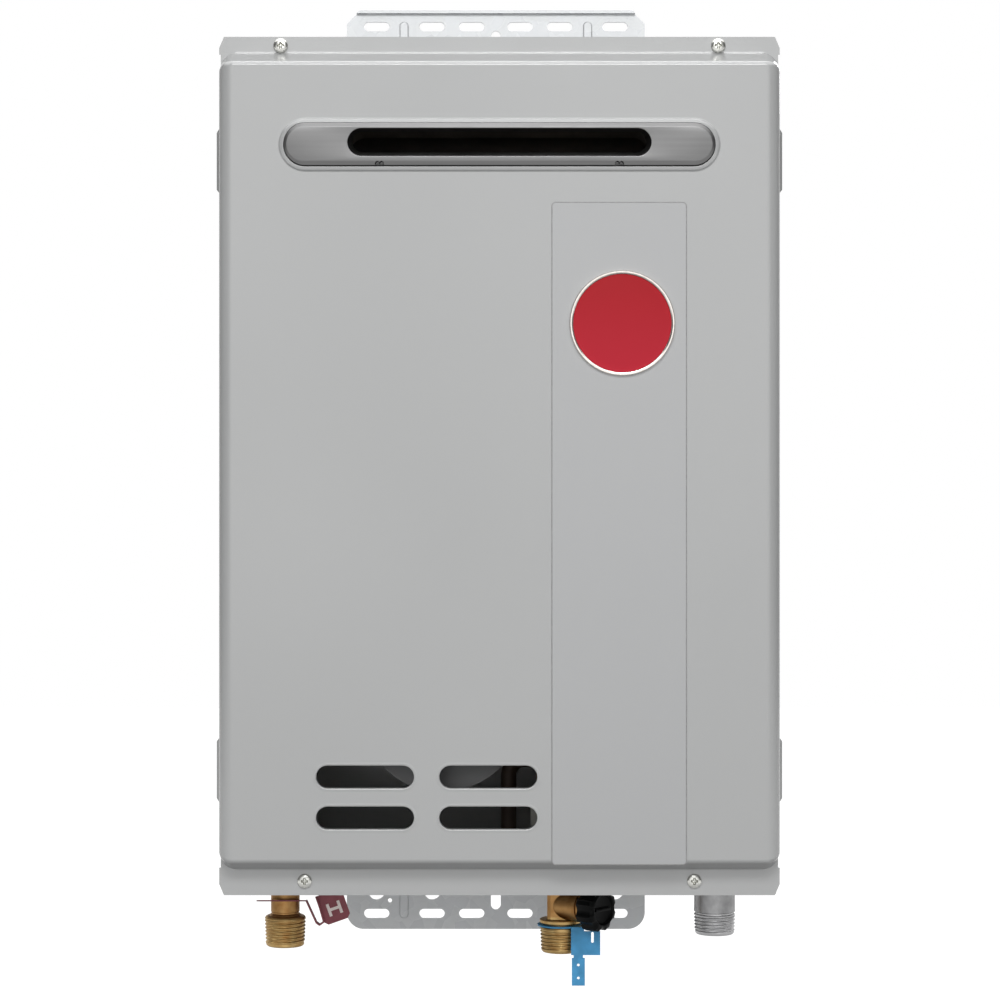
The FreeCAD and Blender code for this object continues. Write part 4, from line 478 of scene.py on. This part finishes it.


# Gas train
# Plated steel inlet, die-cast valve with two coils, steel pipe and the cast manifold with a nozzle
# for every bar. The inlet's pipe thread is cut, so its crests are flat and its flanks shine; above the
# thread the plating's colour is darkened, which is painted shade under the casing.
def wave(height, turn, pitch):
    """Trapezoid wave of a right-hand thread: height less the lead gained so far round the turn, with
    straight flanks of one steepness between a flat crest and a flat root."""
    steepness, crest = 3.2, 0.3
    phase = (height / pitch - turn / (2 * math.pi)) % 1.0
    return np.clip(steepness * np.abs(phase - 0.5) - crest, 0, 1)


def turned(outline, thread=None, columns=96):
    """Surface of revolution about +Z, from (radius, height) pairs. A thread is its bottom, top, pitch and
    depth: long runs of the outline between its ends are cut into fine rows, and the wave is taken off
    their radius, fading at both ends. Rows near the axis, such as those of a bore, stay plain."""
    long_run, rows_per_turn, near_axis = 4, 9, 11.0
    rows = [outline[0]]
    for (r1, z1), (r2, z2) in zip(outline, outline[1:]):
        cuts = 1
        tall = abs(z2 - z1)
        if thread and tall > long_run and min(z1, z2) >= thread[0] and max(z1, z2) <= thread[1]:
            cuts = int(tall / thread[2] * rows_per_turn)
        for share in np.arange(1, cuts + 1) / cuts:
            rows.append((r1 + (r2 - r1) * share, z1 + (z2 - z1) * share))
    radius, height = np.array(rows, float).T[:, :, None]
    turn = np.linspace(0, 2 * math.pi, columns, endpoint=False)[None, :]
    if thread:
        bottom, top, pitch, depth = thread
        cut = np.clip((height - bottom) / pitch, 0, 1) * np.clip((top - height) / pitch, 0, 1)
        inside = (height > bottom) & (height < top) & (radius > near_axis)
        radius = radius - depth * wave(height, turn, pitch) * cut * inside
    else:
        radius = radius * np.ones_like(turn)
    return np.stack([radius * np.cos(turn), radius * np.sin(turn), height * np.ones_like(turn)], -1)


def oblong_plate(length, width, low, high, edge, columns=48):
    """Flat plate with full-round ends: its outline is the points at one distance from a straight core,
    and each row of the profile draws that distance in by the rounding of the edge."""
    half = columns // 2
    bow = np.linspace(-math.pi / 2, math.pi / 2, half)
    x = np.concatenate([np.cos(bow), -np.cos(bow)])
    y = np.concatenate([np.sin(bow), np.sin(bow[::-1])])
    core = np.concatenate([np.full(half, 1.0), np.full(half, -1.0)]) * (length - width) / 2
    rows = []
    for reach, z in ((0, low), (width / 2 - edge, low), (width / 2, low + edge),
                     (width / 2, high - edge), (width / 2 - edge, high), (0, high)):
        spread = 1.0 if reach > 0 else 0.0
        rows.append(np.stack([core * spread + reach * x, reach * y, np.full(2 * half, z)], -1))
    return np.stack(rows)


def height_share(made, low, high):
    """Share from 0 to 1 that the piece's own height has reached between two levels."""
    nodes, links = made.node_tree.nodes, made.node_tree.links
    where = nodes.new("ShaderNodeTexCoord")
    split = nodes.new("ShaderNodeSeparateXYZ")
    links.new(where.outputs["Object"], split.inputs["Vector"])
    return ranged(nodes, links, split.outputs["Z"], (low, high))


def shaded_above(made, level, shade):
    """Base colour multiplied by a darker colour where the piece's own height is over a level, in metres:
    painted shade under the casing.
    """
    nodes, links = made.node_tree.nodes, made.node_tree.links
    blend = 0.0006
    mix = nodes.new("ShaderNodeMix")
    mix.data_type = "RGBA"
    mix.blend_type = "MULTIPLY"
    base = nodes["Principled BSDF"].inputs["Base Color"]
    links.new(height_share(made, level - blend, level + blend), mix.inputs["Factor"])
    links.new(base.links[0].from_socket, mix.inputs["A"])
    mix.inputs["B"].default_value = (*shade, 1)
    links.new(mix.outputs["Result"], base)


def port(points, x):
    """Points modelled on the port's own axis, moved to its place under the casing."""
    return points + np.array([x + center, port_y, 0.0])


plated = finish("plated_steel", (200, 200, 201), 0.42, 1.0)
tint(plated, field(plated, 300), (192, 192, 193), (208, 208, 209))
# Darker above the thread: painted shade under the casing.
shaded_above(plated, -0.289, (0.62, 0.62, 0.62))
sheen_range(plated, field(plated, 160), 0.38, 0.5)
relief(plated, field(plated, 1500, 2.0, (1, 1, 6)), 0.000006)

body = turned([
    (0, -246.0), (9.0, -246.0), (9.0, -302.2), (9.8, -303.0), (11.8, -303.0), (12.6, -302.2),
    (13.0, -300.8), (13.335, -290.2), (12.9, -289.9), (12.335, -289.9), (12.335, -288.7),
    (12.9, -288.7), (13.335, -288.3), (13.335, -269.2), (12.9, -268.8), (11.0, -268.8),
    (11.0, -236.4), (0, -236.4),
], thread=(-302.4, -289.6, 2.2, 0.75))
# Two flats for a spanner: over these heights no point lies further out than half their distance.
flat_low, flat_high, flat_half = -285.7, -268.0, 13.0
upper = (body[:, :, 2] > flat_low) & (body[:, :, 2] < flat_high)
body[:, :, 0] = np.where(upper, np.clip(body[:, :, 0], -flat_half, flat_half), body[:, :, 0])
collar = oblong_plate(58.0, 28.0, -266.4, -263.4, 0.6)
inlet = piece("gas_inlet", [port(body, gas_x), port(collar, gas_x)], plated, "casing")
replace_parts(inlet, "gas_inlet_fitting")
dress(["gas_pipe", "blower_shaft"], plated)

alloy = finish("cast_alloy", (168, 170, 172), 0.5, 0.85)
tint(alloy, field(alloy, 90, 3.0), (150, 152, 154), (182, 184, 186))
relief(alloy, field(alloy, 800, 3.0), 0.00006)
dress(["gas_valve_body", "gas_manifold"], alloy)

coil_black = finish("coil_plastic", (30, 31, 33), 0.42)
tint(coil_black, field(coil_black, 260), (24, 25, 27), (38, 39, 41))
relief(coil_black, field(coil_black, 1600), 0.00001)
dress(["gas_valve_coils", "manifold_valves", "overheat_switch", "water_valve_motor"], coil_black)


# Blower
# Scroll of painted sheet with a cage wheel on the motor's shaft; the motor is potted in pale
# plastic. The scroll's paint is dark grey, painted shade for the dark inside seen through the intake
# slots.
blower_dark = painted("blower_paint", (92, 93, 95))
dress(["blower_housing", "blower_inlet_plate"], blower_dark)

white_plastic = finish("white_plastic", (214, 213, 206), 0.4)
tint(white_plastic, field(white_plastic, 60), (206, 205, 196), (222, 221, 215))
relief(white_plastic, field(white_plastic, 1500), 0.00001)
dress(["blower_motor", "filter_strainer", "flow_sensor_body", "terminal_block"], white_plastic)

grey_plastic = finish("grey_plastic", (122, 124, 126), 0.45)
tint(grey_plastic, field(grey_plastic, 60), (114, 116, 118), (130, 132, 134))
relief(grey_plastic, field(grey_plastic, 1500), 0.00001)
dress(["flow_turbine", "controller_case"], grey_plastic)


# Water connections
# Hot outlet, and cold inlet with a boss for its filter, each forged and turned from brass and held by
# an oblong collar with two screws. The cut threads are bright; above them the colour is browner, the
# forged brass's own tone, and darker, which is painted shade under the casing.
brass = finish("brass", (190, 158, 104), 0.42, 1.0)
tint(brass, field(brass, 170, 3.0), (176, 140, 88), (200, 172, 118))
# Browner and darker above the thread: forged brass's tone, with painted shade under the casing.
shaded_above(brass, -0.2915, (0.7, 0.58, 0.52))
sheen_range(brass, field(brass, 120), 0.36, 0.5)
relief(brass, field(brass, 1300, 2.0, (1, 1, 5)), 0.00001)

body = turned([
    (0, -242.0), (6.5, -242.0), (6.5, -310.0), (7.3, -310.8), (11.4, -310.8), (12.3, -310.0),
    (12.75, -308.4), (13.335, -292.6), (12.6, -291.6), (11.4, -291.0), (10.2, -291.0), (9.8, -290.2),
    (9.0, -289.6), (9.0, -288.8), (9.3, -288.4), (9.3, -267.2), (11.0, -267.2), (11.0, -236.2), (0, -236.2),
], thread=(-310.2, -292.0, 2.3, 0.75))
boss = turned([(0, 0), (7.2, 0), (8.0, 0.8), (8.0, 19.2), (7.2, 20.0), (0, 20.0)], columns=48)
boss = aimed(boss, (hot_x + center, port_y, -250.0), (1, 0, 0))
outlet = piece("hot_outlet", [port(body, hot_x), port(collar, hot_x), boss], brass, "casing")
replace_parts(outlet, "hot_outlet_fitting")

body = turned([
    (0, -247.0), (6.5, -247.0), (6.5, -313.8), (7.3, -314.6), (11.6, -314.6), (12.5, -313.8),
    (12.9, -312.4), (13.335, -299.6), (12.9, -298.6), (10.6, -298.6), (10.6, -295.8), (13.2, -295.8),
    (13.6, -295.4), (13.6, -293.8), (13.2, -293.4), (7.75, -293.4), (7.75, -267.2), (11.0, -267.2),
    (11.0, -246.2), (0, -246.2),
], thread=(-314.2, -299.0, 2.3, 0.75))


def chamfered_block(half, cut, edge, low, high):
    """Square block with cut corners: eight-cornered rows, drawn in by the edge at both ends."""
    rows = []
    stages = ((half, low), (edge, low), (0, low + edge), (0, high - edge), (edge, high), (half, high))
    for draw, z in stages:
        a, b = half - draw, max(half - draw - cut, 0)
        x = np.array([a, a, b, -b, -a, -a, -b, b], float)
        y = np.array([-b, b, a, a, b, -b, -a, -a], float)
        rows.append(np.stack([x, y, np.full(8, z)], -1))
    return np.stack(rows)


block = chamfered_block(8.75, 2.0, 0.4, -293.4, -269.2)
filter_axis = np.array([0.766, -0.643, 0.0])
filter_start = np.array([cold_x + center, port_y, -284.1])
boss = turned([
    (0, 0), (10.0, 0), (10.0, 18.8), (9.2, 19.0), (9.2, 20.0), (10.0, 20.2), (10.0, 22.0), (9.4, 22.6),
    (7.4, 22.6), (7.0, 22.2), (7.0, 4.6), (0, 4.6),
], columns=64)
parts = [port(patch, cold_x) for patch in (body, collar, block)]
parts.append(aimed(boss, filter_start, filter_axis))
inlet = piece("cold_inlet", parts, brass, "casing")
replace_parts(inlet, "cold_inlet_body")
dress(["water_valve_body", "pipe_unions"], brass)


# Filter knob
# Moulded black plastic, screwed into the cold inlet's boss: eight finger hollows round it, a raised
# rim on its face and a low grip bar across the middle.
def lobed(outline, radius, hollow, depth, columns=240):
    """Profile carried round the axis; where a row is wider than the hollows reach, its radius is the
    nearer of the row and the arcs of eight circles set round the rim, with the corner eased."""
    ease, follow, past = 0.35, 0.8, 1.5
    rows = np.array(outline, float)[:, :, None]
    turn = np.linspace(0, 2 * math.pi, columns, endpoint=False)[None, :]
    off = np.abs((turn + math.pi / 8) % (math.pi / 4) - math.pi / 8)
    far = radius + hollow - depth
    root = np.sqrt(np.clip(hollow ** 2 - (far * np.sin(off)) ** 2, 0, None))
    arc = np.where(far * np.sin(off) < hollow, far * np.cos(off) - root, radius)
    limit = arc - (radius - rows[:, 0]) * follow
    wide = rows[:, 0] > radius - depth - past
    eased = -ease * np.log(np.exp(-rows[:, 0] / ease) + np.exp(-limit / ease))
    r = np.where(wide, eased, rows[:, 0] + 0 * turn)
    return np.stack([r * np.cos(turn), r * np.sin(turn), rows[:, 1] + 0 * turn], -1)


knob_look = finish("knob_plastic", (5, 6, 6), 0.42, gloss=0.1)
tint(knob_look, field(knob_look, 260), (3, 4, 4), (8, 9, 9))
relief(knob_look, field(knob_look, 1500), 0.000012)
knob_radius, hollow_radius, hollow_depth = 14.5, 5.0, 1.9
knob = lobed([
    (0, -5.0), (6.4, -5.0), (6.9, -4.5), (6.9, 0.0), (13.6, 0.0), (14.2, 0.3), (14.5, 0.9), (14.5, 10.4),
    (14.2, 11.2), (13.6, 11.9), (12.6, 12.5), (11.6, 12.85), (10.6, 13.0), (10.0, 12.9), (9.6, 12.5),
    (9.3, 11.6), (8.8, 11.15), (8.0, 11.0), (0, 11.0),
], knob_radius, hollow_radius, hollow_depth)
knob_seat = filter_start + filter_axis * 22.9
knob = aimed(knob, knob_seat, filter_axis)
rib = chamfered_block(1.0, 0.2, 0.2, 10.6, 12.6) * np.array([7.6, 1.0, 1.0])
rib = aimed(rib, knob_seat, filter_axis)
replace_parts(piece("drain_knob", [knob, rib], knob_look, "knob", 28), "filter_knob")


# Tags
# Flat loops punched from coloured plastic sheet, slipped over the two water connections. The red
# one carries a printed letter for the hot side, of three flat bars drawn shut to their own middles.
def tag_plastic(name, colour):
    """Thin coloured plastic sheet, faintly mottled, with a soft shine."""
    made = finish(name, colour, 0.45, gloss=0.25)
    low = [value * 0.94 for value in colour]
    high = [min(255, value * 1.06) for value in colour]
    tint(made, field(made, 120), low, high)
    relief(made, field(made, 1200), 0.000012)
    return made


dress(["hot_tag"], tag_plastic("tag_red", (150, 84, 92)))
dress(["cold_tag"], tag_plastic("tag_blue", (80, 158, 208)))

letter_w, letter_h, stroke = 9.2, 8.4, 1.9
letter_front, letter_back = -0.62, -0.4
w, h, s = letter_w / 2, letter_h / 2, stroke
bars = [((-w, -w + s), (-h, h)), ((w - s, w), (-h, h)), ((-w + s, w - s), (-s / 2, s / 2))]
patches = []
for (x1, x2), (z1, z2) in bars:
    rows = []
    for drawn, y in ((1, letter_front), (0, letter_front), (0, letter_back), (1, letter_back)):
        mx, mz = (x1 + x2) / 2, (z1 + z2) / 2
        xs = np.array([x1, x2, x2, x1]) * (1 - drawn) + mx * drawn
        zs = np.array([z1, z1, z2, z2]) * (1 - drawn) + mz * drawn
        rows.append(np.stack([xs, np.full(4, y), zs], -1))
    patches.append(np.stack(rows))
tilt = math.radians(19.5)
leaned = np.array([[math.cos(tilt), 0, math.sin(tilt)], [0, 1, 0], [-math.sin(tilt), 0, math.cos(tilt)]])
tag_corner = np.array([-113.3 + center, port_y, -298.2])
on_tag = np.array([9.46, 0, 8.74])
patches = [(patch + on_tag) @ leaned + tag_corner for patch in patches]
ink = finish("white_ink", (255, 252, 248), 0.5)
tint(ink, field(ink, 500), (244, 228, 224), (255, 244, 240))
piece("hot_letter", patches, ink, "hot_tag")


# Electrical pieces
# Controller tray and board on their bracket, supply terminals, the ignition block and its lead. The
# board is green resin in flat patches; the block and the lead are moulded in black.
board = finish("board_green", (34, 78, 52), 0.4)
tint(board, field(board, 300, cells=True), (28, 66, 44), (46, 96, 62), (0.0, 1.0))
relief(board, field(board, 900, cells=True), 0.00004)
dress(["controller_board"], board)

block_black = finish("ignition_block", (32, 32, 34), 0.5)
tint(block_black, field(block_black, 120), (26, 26, 28), (40, 40, 42))
relief(block_black, field(block_black, 1000), 0.00002)
dress(["ignition_transformer"], block_black)

lead_black = finish("ignition_lead", (30, 30, 30), 0.55)
tint(lead_black, field(lead_black, 400), (24, 24, 24), (42, 40, 40))
relief(lead_black, field(lead_black, 1400), 0.00002)
dress(["ignition_lead"], lead_black)


# Front cover
# One pressed sheet, painted like the casing: raised face, flanges above and below, skirts at the
# sides, an outlet bead and four lipped intake slots, with webs and bends closing its corners. A narrow
# strip panel is fixed on its right.
cover_paint = painted("cover_paint", (177, 178, 178))
dress(["front_cover"], cover_paint)
strip_paint = painted("strip_paint", (177, 178, 179), 1)
dress(["trim_strip"], strip_paint)
face_y = -235.0


def round_cornered_bead(left, right, low, high, corner, width, lift, columns=64):
    """Closed bead round a rectangle with round corners: points on four corner arcs joined by straight
    runs, in five rows that go out over the bead and back under it."""
    turn = np.linspace(0, 2 * math.pi, columns, endpoint=False) + math.pi / columns
    mid_x = np.where(np.cos(turn) > 0, right - corner, left + corner)
    mid_z = np.where(np.sin(turn) > 0, high - corner, low + corner)
    rows = []
    for reach, y in ((0, 0), (0, lift), (width, lift), (width, 0), (0, 0)):
        x = mid_x + (corner + reach) * np.cos(turn)
        z = mid_z + (corner + reach) * np.sin(turn)
        rows.append(np.stack([x, np.full(columns, face_y - y), z], -1))
    return np.stack(rows)


# Grey bead round the strip panel, darker than the paint: painted shade along the strip's edges.
strip_shade_grey = finish("strip_shade_line", (150, 150, 150), 0.6)
tint(strip_shade_grey, field(strip_shade_grey, 500), (144, 144, 144), (157, 157, 157))
strip_left, strip_right, strip_low, strip_high, strip_corner = 32.7, 115.1, -246.0, 162.2, 2.0
strip_shade_bead = round_cornered_bead(strip_left + center, strip_right + center, strip_low, strip_high, strip_corner, 0.6, 0.35)
piece("strip_edge", [strip_shade_bead], strip_shade_grey, "cover")


def swept(profile, path):
    """Closed ring of (y, z) pairs set at each x of a path and drawn to its own middle at both ends."""
    profile = np.array(profile, float)
    middle = np.tile(profile.mean(0), (len(profile), 1))
    rows = [np.column_stack([np.full(len(profile), x + center), yz])
            for x, yz in zip([path[0], *path, path[-1]], [middle, *[profile] * len(path), middle])]
    return np.stack(rows)


slope_lean = math.radians(65.3)
top_bend, bottom_bend = 257.7, -251.6
straight_half, skirt_in = 165.0, 173.7


def bend_profile(start, way, radius=1.5):
    """Fill of an inward bend: an arc that touches the flange and the slope, closed behind the corner."""
    reach = radius * math.tan(slope_lean / 2)
    arc = [(flange_y - radius + radius * math.cos(t), start + way * (reach - radius * math.sin(t)))
           for t in np.linspace(0, slope_lean, 9)]
    return arc + [(flange_y + 0.1, start - way * 0.3)]


def corner_web(side, start, way, wide=9.0, tall=9.9):
    """Flange sheet in a corner of the raised face: from the corner out to points on a quarter ellipse."""
    front, back, under = flange_y + 0.03, flange_y + 0.7, 0.5
    turn = np.linspace(0, math.pi / 2, 17)
    x = straight_half + (wide - under) * np.sin(turn)
    z = start - way * (tall - (tall - under) * np.cos(turn))
    x = np.append(x, skirt_in) * side + center
    z = np.append(z, start - way * 0.2)
    drawn = np.full(len(x), x[-1]), np.full(len(x), z[-1])
    rows = [np.column_stack([u, np.full(len(x), y), v])
            for (u, v), y in ((drawn, front), ((x, z), front), ((x, z), back), (drawn, back))]
    return np.stack(rows)


webs = [corner_web(side, top_bend, 1) for side in (-1, 1)]
webs += [corner_web(side, bottom_bend, -1, tall=9.55) for side in (-1, 1)]
piece("corner_webs", webs, cover_paint, "cover")
path = (-straight_half, 0.0, straight_half)
bends = [swept(bend_profile(top_bend, 1), path), swept(bend_profile(bottom_bend, -1), path)]
piece("flange_bends", bends, cover_paint, "cover", 40)


def oblong_rows(stages, run=(0.0,), bow=40):
    """Rings round an oblong, one for each (core half, radius, x, z, y): a straight core is grown by the
    radius, and the run's shares of the core place the points along its lower side."""
    turn = np.linspace(-math.pi / 2, math.pi / 2, bow)
    share = np.concatenate([np.ones(bow), [0.0], -np.ones(bow), run])
    out_x = np.concatenate([np.cos(turn), [0.0], -np.cos(turn), np.zeros(len(run))])
    out_z = np.concatenate([np.sin(turn), [1.0], np.sin(turn[::-1]), -np.ones(len(run))])
    rows = [np.column_stack([x + center + core * share + radius * out_x, np.full(len(share), y),
                             z + radius * out_z]) for core, radius, x, z, y in stages]
    return np.stack(rows)


quarter = np.linspace(0, math.pi / 2, 10)
intake_half, intake_radius, intake_y = 30.3, 7.1, -234.6
intake_core = intake_half - intake_radius
lip = [(intake_radius, intake_y)]
lip += [(intake_radius + 0.05 + 0.75 * (1 - math.cos(t)), intake_y - 0.65 * math.sin(t)) for t in quarter]
lip += [(9.0, -235.02), (9.0, -234.8), (intake_radius, intake_y)]
intake_x, intake_z = (-83.0, -6.9), (-192.2, -217.5)
lips = [oblong_rows([(intake_core, radius, x, z, y) for radius, y in lip])
        for x in intake_x for z in intake_z]
piece("intake_lips", lips, cover_paint, "cover", 50)

outlet_length, outlet_height, outlet_z = 266.0, 26.4, 198.1
outlet_core = (outlet_length - outlet_height) / 2
crest = [(13.6, -234.9), (13.6, -236.8), (13.65, -236.87), (13.75, -236.9), (13.9, -236.87), (15.3, -236.45),
         (15.7, -236.2), (15.95, -235.85), (16.15, -235.5), (16.4, -235.2), (16.8, -235.04), (16.8, -234.9),
         (13.6, -234.9)]
stages = [(outlet_core, radius, 0, outlet_z, y) for radius, y in crest]
piece("outlet_collar", [oblong_rows(stages)], cover_paint, "cover", 50)


# Exhaust outlet
# Stainless plate pressed with a rolled edge all round, an oblong slot whose lip runs inward and rises
# at its foot, and two small double drain notches low in the edge; brushed along its length.
outlet_steel = finish("outlet_steel", (114, 114, 114), 0.4, 1.0)
tint(outlet_steel, field(outlet_steel, 260, 3.0, (0.03, 1, 1)), (110, 110, 110), (118, 118, 118))
sheen_range(outlet_steel, field(outlet_steel, 60), 0.36, 0.44)
relief(outlet_steel, field(outlet_steel, 1600, 2.0, (0.02, 1, 1)), 0.000004)
drain_x, drain_half, drain_deep, drain_tall = 74.0, 2.6, 3.0, 2.2
beside = np.linspace(-drain_half - 0.6, drain_half + 0.6, 27)
run = [[-0.98], (beside - drain_x) / outlet_core, [0.0], (beside + drain_x) / outlet_core, [0.98]]
slot_core, slot_z, slot_radius, slot_round = 85.0, 199.4, 8.5, 0.5
plate_z, plate_radius, plate_front, plate_back, lip_back = 198.35, 13.2, -238.1, -233.8, -222.0
edge_out, edge_wide = 12.85, 2.1
edge = [(plate_radius, plate_back), (plate_radius, -236.8), (13.15, -237.1), (12.98, -237.25)]
edge += [(edge_out - edge_wide * share, -237.3 - 0.7 * share) for share in np.linspace(0, 1.0, 10)]
edge += [(10.55, -238.05), (10.3, plate_front)]
stages = [(outlet_core + min(1, max(0, (edge_out - radius) / edge_wide)), radius, 0, plate_z, y)
          for radius, y in edge]
stages += [(slot_core, slot_radius + slot_round * (1 - math.cos(t)), 0, slot_z,
            plate_front + slot_round * (1 - math.sin(t))) for t in quarter[::-1]]
stages += [(slot_core, 6.4, 0, slot_z + 2.1, lip_back), (slot_core, 9.7, 0, slot_z, lip_back),
           (slot_core, 9.7, 0, slot_z, plate_back), (outlet_core, plate_radius, 0, plate_z, plate_back)]
plate = oblong_rows(stages, np.concatenate(run))
# A notch is two half ellipses side by side: the edge's points inside them are pushed inwards.
along = plate[:, :, 0] - center
across = np.minimum(np.abs(along - drain_x), np.abs(along + drain_x))
rise = (plate[:, :, 2] - (plate_z - plate_radius + 0.3)) / drain_tall
lobe = (across - drain_half / 2) / (drain_half / 2 + 0.1)
inside = (rise > 0) & (rise < np.sqrt(np.clip(1 - lobe ** 2, 0, 1))) & (plate[:, :, 1] < -237.0)
plate[:, :, 1] += np.where(inside, drain_deep, 0.0)
plate = piece("outlet_plate", [plate], outlet_steel, "casing", 40)
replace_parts(plate, "exhaust_outlet")


# Badge
# A domed disc of red enamel in a bright rim, both bare. The dome is a shallow cap of a sphere whose
# edge rolls over into a short straight side, and the enamel's colour is a little lighter towards its
# bottom: a painted reflection.
rim = finish("badge_rim", (214, 208, 202), 0.22, 1.0)
tint(rim, field(rim, 400), (206, 200, 194), (222, 217, 211))
dress(["badge_rim"], rim)
enamel = finish("badge_red", (180, 28, 38), 0.3, gloss=0.12)
# Lighter towards the badge's bottom: painted reflection.
tint(enamel, height_share(enamel, 0.06, 0.116), (198, 44, 60), (178, 26, 36), (0.0, 1.0))
relief(enamel, field(enamel, 300), 0.000004)
radius, rise, side = 30.4, 1.2, 1.4
out = np.linspace(0, 1, 24)
cap = [(radius * r, side - 0.15 + (rise + 0.15) * (1 - r ** 2)) for r in out[:-1]]
cap += [(radius - 0.12, side - 0.1), (radius - 0.02, side - 0.35), (radius, 0.05), (0, 0.05)]
badge_x, badge_z, strip_y = 75.8, 87.9, -235.6
dome = aimed(turned(cap, columns=128), (badge_x + center, strip_y, badge_z), (0, -1, 0))
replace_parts(piece("badge_enamel", [dome], enamel, "cover", 50), "badge_dome")
